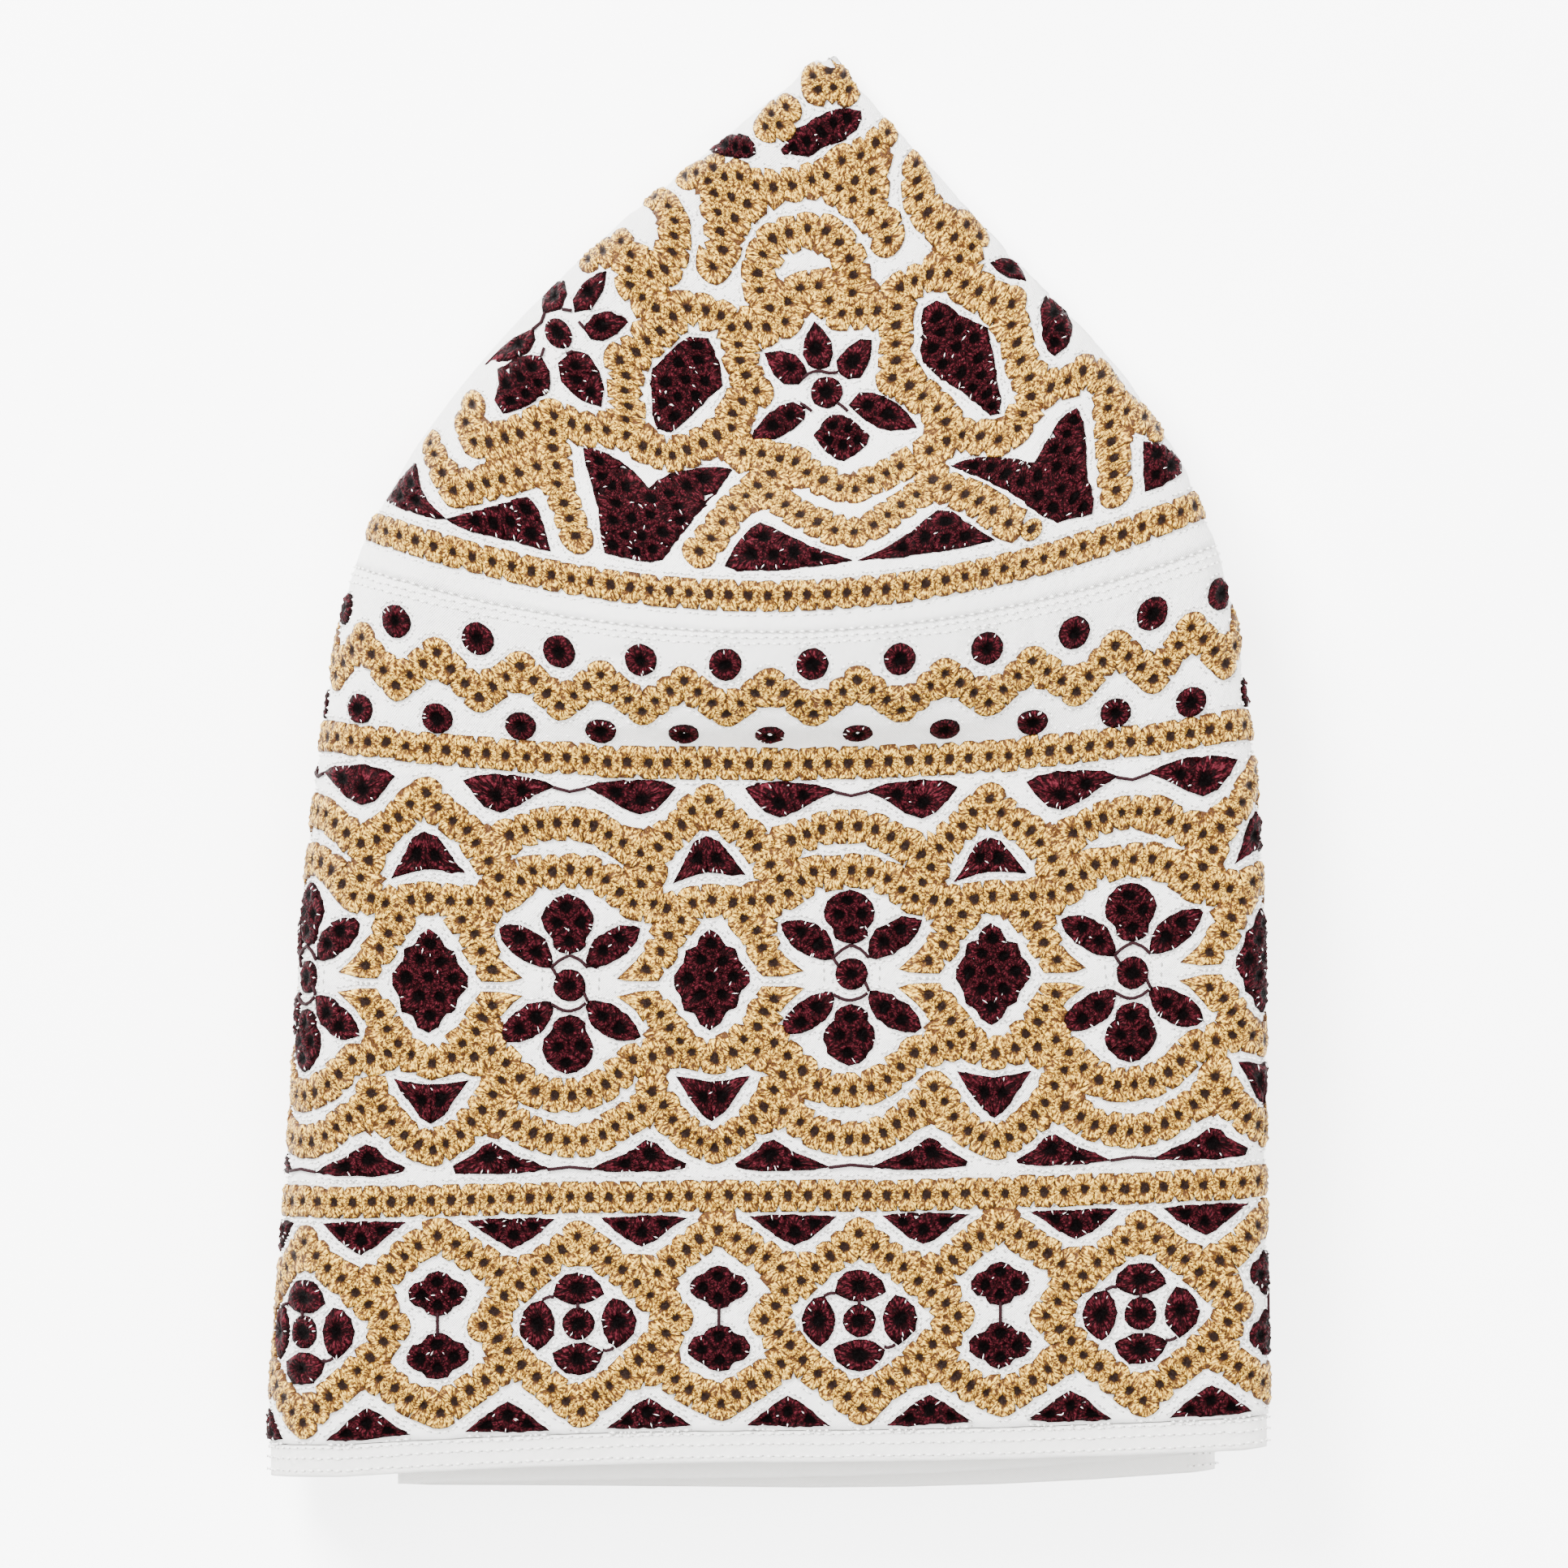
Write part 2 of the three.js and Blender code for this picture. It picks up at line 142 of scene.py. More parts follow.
@dataclass
class FoldedCap:
    """The folded cap's outer surface, as flat distance across the cloth and height up it.

    Lengths are millimetres. Flat distance runs along the cloth: it is x on the front panel, goes on
    round the upper fold to the right, and round the wide fold and over the back to the left.
    """

    head: float = 574.0
    band_height: float = 118.5
    hem_height: float = 4.8
    stack_height: float = 24.0
    slot_height: float = 5.0
    slot_depth: float = 0.9
    puff_height: float = 9.0
    crown_lay: float = 0.918
    back_drop: float = 3.2
    tip_height: float = 7.6
    tip_slot: float = 0.8
    nose_steps: int = 5
    nose_bluntness: float = 2.4
    front_gather: float = 1.5
    samples: int = 2400
    heights: Array = field(default_factory=lambda: np.zeros(0))
    sizes: dict[str, Array] = field(default_factory=dict)

    def __post_init__(self) -> None:
        """Makes the rows and samples every size finely between them."""
        self.quarter = self.head / 4
        self.crown_reach = self.crown_lay * self.head / (2 * math.pi)
        self.seam = self.hem_height + self.band_height
        self.top = self.seam + self.crown_reach
        rows = self._rows()
        y = np.array([row["y"] for row in rows])
        self.heights = np.linspace(0, y[-1], self.samples)
        for name in SIZE_NAMES:
            values = np.array([row[name] for row in rows])
            self.sizes[name] = smooth_through(y, values, self.heights)

    def _rows(self) -> list[dict[str, float]]:
        """The hem's, band's, crown's and nose's sections, as lengths."""
        rows = []
        for up, left, right, under, rise_left, rise_right, stack, puff in BAND_ROWS:
            rows.append({
                "y": self.hem_height + up * self.band_height,
                "middle": 0.0,
                "left": left * self.quarter,
                "right": right * self.quarter,
                "under": under * self.quarter,
                "rise_left": rise_left * self.band_height,
                "rise_right": rise_right * self.band_height,
                "stack": stack * self.stack_height,
                "slot": self.slot_height,
                "puff": puff * self.puff_height,
                "depth": self.slot_depth,
                "drop": self.back_drop * (1 - up),
                "lift": 0.0,
            })
        rows.insert(0, {**rows[0], "y": 0.0})
        for up, middle, left, right, under, rise_left, rise_right, stack, puff, depth in CROWN_ROWS:
            narrowing = min(1.0, up / 0.9)
            rows.append({
                "y": self.seam + up * self.crown_reach,
                "middle": middle * self.quarter,
                "left": left * self.quarter,
                "right": right * self.quarter,
                "under": under * self.quarter,
                "rise_left": rise_left * self.crown_reach,
                "rise_right": rise_right * self.crown_reach,
                "stack": max(stack * self.stack_height, self.tip_height),
                "slot": self.slot_height + (self.tip_slot - self.slot_height) * narrowing,
                "puff": puff * self.puff_height,
                "depth": depth * self.slot_depth,
                "drop": 0.0,
                "lift": 0.0,
            })
        last = rows[-1]
        centre = (last["left"] + last["right"]) / 2
        for i in range(self.nose_steps):
            size = 1 - (i + 1) / (self.nose_steps + 0.4)
            along = 1 - size**self.nose_bluntness
            rows.append({
                **last,
                "y": last["y"] + along * (self.top - last["y"]),
                "middle": centre,
                "left": centre + (last["left"] - centre) * size,
                "right": centre + (last["right"] - centre) * size,
                "under": centre + (last["under"] - centre) * size,
                "rise_left": last["rise_left"] * size,
                "rise_right": last["rise_right"] * size,
                "stack": last["stack"] * size,
                "slot": last["slot"] * size,
                "lift": last["stack"] * (1 - size) / 2,
            })
        return rows

    def at(self, v: Array) -> dict[str, Array]:
        """The section's sizes at heights v.

        Args:
            v: heights up the cloth.

        Returns:
            Every named size and the places where its stretches meet.
        """
        s = {name: np.interp(v, self.heights, values) for name, values in self.sizes.items()}
        s["wide"] = s["stack"] / 2
        s["fold"] = (s["stack"] - s["slot"]) / 4
        s["from"] = s["left"] + s["wide"]
        s["to"] = s["right"] - s["fold"]
        s["back_to"] = s["under"] - s["fold"]
        inner_start = np.minimum(s["right"], s["under"]) - s["fold"] - s["slot"] / 4
        s["inner"] = inner_start + (s["from"] - inner_start) * s["depth"]
        return s

    def corners(self, v: Array) -> list[Array]:
        """Flat distances at which the stretches round the section meet, from the hollow's inner end
        over the lower fold, the back, the wide fold, the front and the upper fold to that end again.

        Args:
            v: heights up the cloth.

        Returns:
            Nine arrays of flat distances.
        """
        s = self.at(v)
        back_start = s["from"] - math.pi * s["wide"]
        lower = back_start - (s["back_to"] - s["from"])
        inner_back = lower - math.pi * s["fold"]
        inner_back_end = inner_back - (s["back_to"] - s["inner"])
        upper = s["to"] + math.pi * s["fold"]
        inner_end = upper + (s["to"] - s["inner"])
        return [
            inner_back_end, inner_back, lower, back_start, s["from"], s["to"],
            upper, inner_end, inner_end + math.pi * s["slot"] / 2,
        ]

    def points(self, t: Array, v: Array, height: Array | float = 0.0) -> Array:
        """Points at flat distances t and heights v, a distance outside the surface.

        Args:
            t: flat distances across the cloth.
            v: heights up the cloth.
            height: how far outside the cap's surface the points lie.

        Returns:
            An array of points, before the cap is moved to its own place.
        """
        t, v = np.broadcast_arrays(np.asarray(t, float), np.asarray(v, float))
        s = self.at(v)
        c = self.corners(v)
        share = np.clip((2 * t - s["from"] - s["to"]) / np.maximum(s["to"] - s["from"], 1e-6), -1, 1)
        bulge = s["puff"] * (1 - share**2) ** 2
        slope = (
            -4 * s["puff"] * share * (1 - share**2) * 2 / np.maximum(s["to"] - s["from"], 1e-6)
        )
        front_length = np.sqrt(1 + slope**2)
        fold, wide, slot = s["fold"], s["wide"], s["slot"]
        upper_turn = (t - c[5]) / fold
        wide_turn = (c[4] - t) / wide
        lower_turn = (c[2] - t) / fold
        inner_turn = (t - c[7]) / np.maximum(slot / 2, 1e-6)
        slot_top = (s["stack"] + slot) / 2
        slot_base = (s["stack"] - slot) / 2
        one, zero = np.ones_like(t), np.zeros_like(t)
        tests = [t < c[1], t < c[2], t < c[3], t < c[4], t <= c[5], t < c[6], t < c[7]]
        x = np.select(
            tests,
            [
                s["back_to"] - (c[1] - t),
                s["back_to"] + fold * np.sin(lower_turn),
                s["from"] + (c[3] - t),
                s["from"] - wide * np.sin(wide_turn),
                t,
                s["to"] + fold * np.sin(upper_turn),
                s["to"] - (t - c[6]),
            ],
            s["inner"] - slot / 2 * np.sin(inner_turn),
        )
        z = np.select(
            tests,
            [
                slot_base,
                fold - fold * np.cos(lower_turn),
                zero,
                wide + wide * np.cos(wide_turn),
                s["stack"] + bulge,
                s["stack"] - fold + fold * np.cos(upper_turn),
                slot_top,
            ],
            s["stack"] / 2 + slot / 2 * np.cos(inner_turn),
        )
        nx = np.select(
            tests,
            [
                zero, np.sin(lower_turn), zero, -np.sin(wide_turn), -slope / front_length,
                np.sin(upper_turn), zero,
            ],
            np.sin(inner_turn),
        )
        nz = np.select(
            tests,
            [
                one, -np.cos(lower_turn), -one, np.cos(wide_turn), one / front_length,
                np.cos(upper_turn), -one,
            ],
            -np.cos(inner_turn),
        )
        drop_share = np.select(
            tests,
            [
                1 - 0.4 * np.clip((c[1] - t) / np.maximum(c[1] - c[0], 1e-6), 0, 1),
                one,
                (c[3] - t) / np.maximum(c[3] - c[2], 1e-6),
                zero, zero, zero,
                0.4 * (t - c[6]) / np.maximum(c[7] - c[6], 1e-6),
            ],
            0.4 + 0.2 * np.clip(inner_turn / math.pi, 0, 1),
        )
        off = x - s["middle"]
        rise = np.where(
            off < 0,
            s["rise_left"] * (off / (s["left"] - s["middle"])) ** 2,
            s["rise_right"] * (off / (s["right"] - s["middle"])) ** 2,
        )
        gather = self.front_gather * np.interp(v, GATHER_LEVELS, GATHER_SHARES)
        y = v + rise - s["drop"] * drop_share + gather * (1 - share**2)
        return np.stack([x + nx * height, y, z + s["lift"] + nz * height], -1)

    def frame_at(self, t: Array, v: Array) -> tuple[Array, Array, Array]:
        """The surface's directions at flat distances t and heights v.

        Args:
            t: flat distances across the cloth.
            v: heights up the cloth.

        Returns:
            How the point moves per millimetre of t, the same per millimetre of v, and the outward
            normal.
        """
        step = 0.4
        high = np.minimum(v + step, self.top - 0.2)
        across = (self.points(t + step, v) - self.points(t - step, v)) / (2 * step)
        up = (self.points(t, high) - self.points(t, high - 2 * step)) / (2 * step)
        normal = np.cross(across, up)
        normal /= np.maximum(np.linalg.norm(normal, axis=-1, keepdims=True), 1e-9)
        return across, up, normal

    def from_plan(self, x: Array, y: Array) -> tuple[Array, Array]:
        """The place on the front panel that is seen at x, y from straight above.

        Args:
            x: millimetres to the right.
            y: millimetres up the folded cap from its hem.

        Returns:
            Flat distances and heights up the cloth.
        """
        x, y = np.asarray(x, float), np.asarray(y, float)
        v = y.copy()
        t = x.copy()
        for _ in range(30):
            v = np.clip(v, 0.5, self.top - 0.5)
            s = self.at(v)
            right = s["to"] + s["fold"] * np.arcsin(np.clip((x - s["to"]) / s["fold"], -1, 1))
            left = s["from"] - s["wide"] * np.arcsin(np.clip((s["from"] - x) / s["wide"], -1, 1))
            t = np.where(x > s["to"], right, np.where(x < s["from"], left, x))
            v = v + 0.8 * (y - self.points(t, v)[..., 1])
        return t, np.clip(v, 0.5, self.top - 0.5)

    def mirrored(self, t: Array, v: Array) -> Array:
        """Flat distances of the same places seen through the cap on its other side.

        Args:
            t: flat distances across the cloth.
            v: heights up the cloth.

        Returns:
            Flat distances reflected at the wide fold's crease.
        """
        s = self.at(v)
        return 2 * s["from"] - math.pi * s["wide"] - t


def smooth_through(places: Array, values: Array, at: Array) -> Array:
    """A curve through values that never overshoots them.

    Args:
        places: rising places of the values.
        values: what the curve passes through.
        at: where it is wanted.

    Returns:
        The curve's values there.
    """
    runs = np.diff(places)
    slopes = np.diff(values) / runs
    before = np.concatenate([slopes[:1], slopes])
    after = np.concatenate([slopes, slopes[-1:]])
    agree = before * after > 0
    tangents = np.where(agree, 2 * before * after / np.where(agree, before + after, 1), 0)
    i = np.clip(np.searchsorted(places, at, side="right") - 1, 0, len(runs) - 1)
    f = (at - places[i]) / runs[i]
    return (
        values[i] * (2 * f**3 - 3 * f**2 + 1)
        + values[i + 1] * (3 * f**2 - 2 * f**3)
        + runs[i] * (tangents[i] * (f**3 - 2 * f**2 + f) + tangents[i + 1] * (f**3 - f**2))
    )


@dataclass
class Shaper:
    """Turns arrays of points in the cap's own place into finished mesh objects."""

    cap: FoldedCap
    shift: float

    def settle(self, points: Array) -> Array:
        """Moves points from the cap's own millimetres to the frame's metres."""
        return (points + np.array([0.0, self.shift, 0.0])) * MM

    def mesh(self, name: str, points: Array, faces: list, smooth: bool = True) -> bpy.types.Object:
        """A mesh object from points and faces.

        Args:
            name: the piece's name.
            points: its points, in the cap's own millimetres.
            faces: point numbers of each face.
            smooth: whether it is shaded smooth.

        Returns:
            The new object, in the scene.
        """
        made = bpy.data.meshes.new(name)
        made.from_pydata(self.settle(points).tolist(), [], faces)
        made.validate()
        made.update()
        made.polygons.foreach_set("use_smooth", [smooth] * len(made.polygons))
        piece = bpy.data.objects.new(name, made)
        bpy.context.scene.collection.objects.link(piece)
        return piece


def deselect() -> None:
    """Clears the selection."""
    bpy.ops.object.select_all(action="DESELECT")


def select_only(piece: bpy.types.Object) -> None:
    """Makes one piece the selected and active one."""
    deselect()
    piece.select_set(True)
    bpy.context.view_layer.objects.active = piece


def apply_modifiers(piece: bpy.types.Object) -> None:
    """Applies every modifier of a piece, in order."""
    select_only(piece)
    for modifier in list(piece.modifiers):
        bpy.ops.object.modifier_apply(modifier=modifier.name)


def rolled_sheet(name: str, columns: int, rows: int) -> bpy.types.Object:
    """A flat grid whose two upright edges are then brought together.

    Args:
        name: the piece's name.
        columns: squares round the tube.
        rows: squares up the tube.

    Returns:
        A grid object, with one point more than columns along its x.
    """
    deselect()
    bpy.ops.mesh.primitive_grid_add(
        x_subdivisions=columns, y_subdivisions=rows, size=1, location=(0, 0, 0)
    )
    piece = bpy.context.object
    piece.name = name
    piece.data.name = name
    return piece


@dataclass
class ClothTube:
    """One open tube of cloth that lies folded on the cap's section."""

    cap: FoldedCap
    shaper: Shaper
    name: str
    low: float
    high: float
    rows: int
    counts: tuple[int, ...]
    thickness: float = 1.2
    sunk: float = 0.8
    edge_fall: float = 0.0
    edge_width: float = 1.6

    def flat_places(self) -> tuple[Array, Array]:
        """The grid's flat distances and heights, row by row."""
        levels = np.linspace(self.low, self.high, self.rows + 1)
        corners = self.cap.corners(levels)
        columns = []
        for k, count in enumerate(self.counts):
            shares = np.arange(count) / count
            columns.append(corners[k][:, None] + (corners[k + 1] - corners[k])[:, None] * shares)
        columns.append(corners[-1][:, None])
        t = np.concatenate(columns, 1)
        v = np.broadcast_to(levels[:, None], t.shape)
        return t, v

    def build(self, relief: Callable[[Array, Array], Array]) -> bpy.types.Object:
        """Lays the cloth, closes it to a tube and gives it its thickness.

        Args:
            relief: a function of flat distances and heights that gives how far the cloth stands
                above its ground.

        Returns:
            The finished piece.
        """
        t, v = self.flat_places()
        columns = t.shape[1] - 1
        piece = rolled_sheet(self.name, columns, self.rows)
        at_edge = np.clip(1 - (self.high - v) / self.edge_width, 0, 1)
        height = relief(t, v) - self.sunk - self.edge_fall * at_edge**2
        points = self.cap.points(t, v, height)
        points[:, -1] = points[:, 0]
        coordinates = self.shaper.settle(points.reshape(-1, 3))
        piece.data.vertices.foreach_set("co", coordinates.astype(np.float32).ravel())
        layer = piece.data.uv_layers.active or piece.data.uv_layers.new(name="cloth")
        layer.name = "cloth"
        loops = np.zeros(len(piece.data.loops), np.int32)
        piece.data.loops.foreach_get("vertex_index", loops)
        flat = np.stack([t.ravel(), v.ravel()], -1)[loops] / UV_LENGTH
        layer.data.foreach_set("uv", flat.astype(np.float32).ravel())
        piece.data.update()
        select_only(piece)
        bpy.ops.object.mode_set(mode="EDIT")
        bpy.ops.mesh.select_all(action="SELECT")
        bpy.ops.mesh.remove_doubles(threshold=0.00002)
        bpy.ops.object.mode_set(mode="OBJECT")
        self._face_outwards(piece)
        wall = piece.modifiers.new("wall", "SOLIDIFY")
        wall.thickness = self.thickness * MM
        wall.offset = -1.0
        wall.use_even_offset = False
        apply_modifiers(piece)
        select_only(piece)
        bpy.ops.object.shade_smooth()
        return piece

    def _face_outwards(self, piece: bpy.types.Object) -> None:
        """Turns the faces round where the front panel's face looks down.

        Args:
            piece: the closed tube of cloth.
        """
        mesh = piece.data
        centres = np.zeros(len(mesh.polygons) * 3, np.float32)
        normals = np.zeros(len(mesh.polygons) * 3, np.float32)
        mesh.polygons.foreach_get("center", centres)
        mesh.polygons.foreach_get("normal", normals)
        top = int(np.argmax(centres.reshape(-1, 3)[:, 2]))
        if normals.reshape(-1, 3)[top, 2] < 0:
            mesh.flip_normals()


# How far the work spreads from each hole, in pixels of the photograph.
GOLD_REACH = 20.8
ROW_REACH = 19.4
CROWN_REACH = 22.0
MAROON_REACH = 20.0
PATCH_REACH = 70.0
PERIOD = 41.0
PLAN_TOP = 104.884
PERIODS = range(-6, 3)
FLOWER_T = 12.1
FLOWER_V = 71.8
CLUSTER_T = 13.3
CLUSTER_V = 20.9

# How far the work was lifted above its lines, at flat distances and at heights.
LIFT_COLUMNS = ((-90, -70, -29, 12, 53, 75), (0, -0.5, -0.8, 0.9, -0.3, 0))
LIFT_ZONE = ((50, 62, 80, 92), (0, 1, 1, 0))
LOWERED_LEVELS = ((80, 88, 97, 101, 104), (0, 1.0, 1.6, 0.9, 0))
LOWERED_COLUMNS = ((-90, -50, -9, 12, 32, 60, 80), (1, 1.15, 0.75, 1.1, 1.4, 1.1, 1))
# No stitches are worked so close to the tip.
TIP_CLEARANCE = 2.0
# The share by which the dots and the zigzag draw in at the folds.
DRAWN_IN = ((-38, 0, 45, 70), (0.05, 0, 0, 0.05))

# The band's main zone, in pixels from a flower's centre: to the right and down.
ARCH = (
    (-72, -184), (-54, -192), (-36, -199), (-14, -203), (8, -202), (30, -199), (48, -188),
    (66, -177), (86, -165), (98, -146), (87, -125),
)
HUMP = (
    (108, -172), (121, -187), (136, -201), (149, -217), (169, -229), (183, -216), (202, -201),
    (219, -189), (229, -174), (245, -152), (257, -132),
)
INNER_ARC = (
    (-21, -141), (1, -144), (24, -141), (44, -131), (62, -115), (78, -101), (102, -99),
    (119, -93), (150, -99), (173, -103), (199, -100), (222, -100), (244, -102), (267, -112),
    (283, -128), (298, -141),
)
LOWER_INNER_ARC = (
    (-41, 135), (-18, 143), (3, 143), (24, 139), (44, 129), (60, 115), (77, 97), (101, 94),
    (122, 88), (149, 90), (176, 99), (200, 92), (227, 91), (249, 83), (266, 100), (283, 118),
)
LOWER_ARCH = (
    (-82, 166), (-63, 180), (-45, 191), (-25, 197), (-3, 201), (18, 200), (40, 193), (56, 183),
    (74, 171), (88, 159), (101, 139),
)
LOWER_HUMP = (
    (114, 157), (126, 175), (142, 192), (159, 203), (177, 210), (193, 203), (209, 191),
    (224, 176), (237, 161), (249, 140), (261, 122),
)
BARS = (
    (135, -76), (121, -57), (112, -38), (213, -76), (227, -59), (236, -39),
    (111, 41), (122, 58), (134, 75), (213, 76), (229, 60), (237, 42),
)
BAR_TIP = (
    (57, -7), (68, -16), (80, -27), (90, -41), (108, -50), (129, -37), (123, -23), (115, -12),
    (108, -2), (85, -2), (70, -3),
)
BAR_TIP_HOLE = ((94, -18),)
BAR_TIP_DROP = 8.0
BULB = (
    (-3, -114), (8, -111), (18, -104), (26, -93), (29, -80), (26, -67), (20, -58), (20, -48),
    (12, -41), (0, -38), (-12, -41), (-19, -47), (-22, -58), (-31, -68), (-34, -82), (-29, -97),
    (-18, -108),
)
BULB_HOLES = ((-4, -97), (-14, -77), (13, -76), (-1, -55))
PETAL = (
    (86, -67), (78, -72), (61, -72), (46, -66), (31, -56), (24, -44), (20, -30), (22, -21),
    (31, -20), (50, -25), (70, -38), (82, -53),
)
PETAL_HOLES = ((60, -57), (41, -41))
# Grey dashes of painted shade down two stitch columns beside each flower: their columns and drops, in
# pixels.
SHADE_MARK_COLUMNS = (-33, 35)
SHADE_MARK_DROPS = (-29, -18, -7, 4, 15, 25)
DIAMOND = (
    (171, -64), (183, -56), (190, -43), (203, -38), (208, -23), (219, -8), (219, 4), (206, 20),
    (203, 34), (190, 42), (184, 55), (171, 63), (158, 55), (152, 42), (139, 36), (136, 20),
    (127, 4), (127, -8), (138, -23), (141, -38), (154, -43), (160, -56),
)
DIAMOND_HOLES = (
    (173, -45), (161, -27), (185, -24), (145, -4), (171, -5), (200, -5), (161, 17), (185, 17),
    (172, 40),
)
DOME = (
    (167, -187), (182, -180), (194, -165), (204, -150), (215, -137), (200, -136), (185, -139),
    (170, -140), (155, -138), (140, -132), (125, -126), (134, -142), (142, -158), (152, -178),
)
DOME_HOLES = ((157, -158), (178, -158))
LOWER_DOME = (
    (129, 121), (145, 123), (160, 127), (174, 128), (190, 127), (205, 124), (220, 122),
    (210, 136), (200, 150), (190, 166), (174, 178), (160, 168), (148, 150), (138, 136),
)
LOWER_DOME_HOLES = ((163, 147), (184, 147))
WING = (
    (18, -241), (35, -246), (60, -249), (90, -250), (115, -248), (130, -243), (118, -230),
    (104, -218), (86, -213), (66, -219), (44, -231),
)
WING_HOLES = ((88, -228), (58, -236))
LOWER_WING = (
    (25, 236), (46, 226), (67, 218), (82, 208), (94, 201), (107, 205), (117, 218), (142, 230),
    (140, 237), (110, 240), (82, 240), (50, 239),
)
LOWER_WING_HOLES = ((98, 219), (68, 230))
FLOWER_LINKS = (
    ((22, -21), (13, -31), (0, -37), (-12, -31), (-22, -22)),
    ((20, 23), (12, 29), (0, 33), (-10, 31), (-22, 24)),
    ((-22, -22), (-15, -11)),
    ((22, 21), (17, 9)),
    ((-20, -240), (0, -236), (20, -240)),
    ((-27, 236), (0, 233), (27, 236)),
)

# The band's lower zone, in pixels from a cluster's centre.
LOWER_GOLD = (
    (0, -107), (-19, -91), (-36, -79), (-53, -65), (-71, -50), (19, -91), (37, -77), (54, -65),
    (72, -49), (88, -34), (106, -20), (120, -4), (106, 13), (90, 31), (74, 47), (57, 63),
    (39, 77), (22, 89), (4, 108), (-14, 95), (-32, 79), (-50, 64), (-69, 49), (-85, 30),
    (-98, 15), (-115, -2), (-102, -19), (-90, -37), (98, -61), (114, -74), (132, -89),
    (148, -101), (172, -113), (194, -102), (212, -89), (230, -78), (248, -65), (101, 57),
    (119, 71), (136, 83), (155, 93), (175, 102), (193, 91), (212, 78), (231, 66), (248, 53),
)
TOP_SEGMENT = (
    (-31, -35), (-27, -50), (-15, -61), (0, -63), (15, -60), (27, -49), (32, -36), (20, -28),
    (8, -24), (-6, -24), (-18, -28),
)
SIDE_SEGMENT = (
    (43, -31), (56, -28), (66, -17), (71, -2), (68, 13), (58, 24), (48, 32), (38, 24), (31, 12),
    (29, -3), (33, -18),
)
BLOB = (
    (0, -28), (11, -25), (18, -18), (29, -14), (36, -4), (35, 6), (28, 13), (19, 16), (12, 24),
    (0, 27), (-12, 24), (-19, 16), (-28, 13), (-35, 6), (-36, -4), (-29, -14), (-18, -18),
    (-11, -25),
)
BLOB_HOLES = ((0, -15), (-19, 1), (19, 1), (0, 13))
PENDANT = (
    (-134, -129), (-108, -131), (-79, -132), (-52, -131), (-28, -129), (-45, -114), (-60, -103),
    (-79, -94), (-98, -103), (-115, -117),
)
PENDANT_HOLES = ((-78, -111), (-105, -121), (-54, -121))
TENT = (
    (35, 130), (60, 131), (86, 131), (112, 130), (138, 128), (120, 116), (104, 103), (86, 93),
    (68, 103), (52, 117),
)
TENT_HOLES = ((85, 111), (60, 122), (112, 121))
CLUSTER_LINKS = (
    ((-29, -34), (-36, -35), (-43, -31)), ((30, 33), (37, 34), (44, 30)),
    ((0, -27), (0, -18)), ((172, -20), (172, 8)),
)

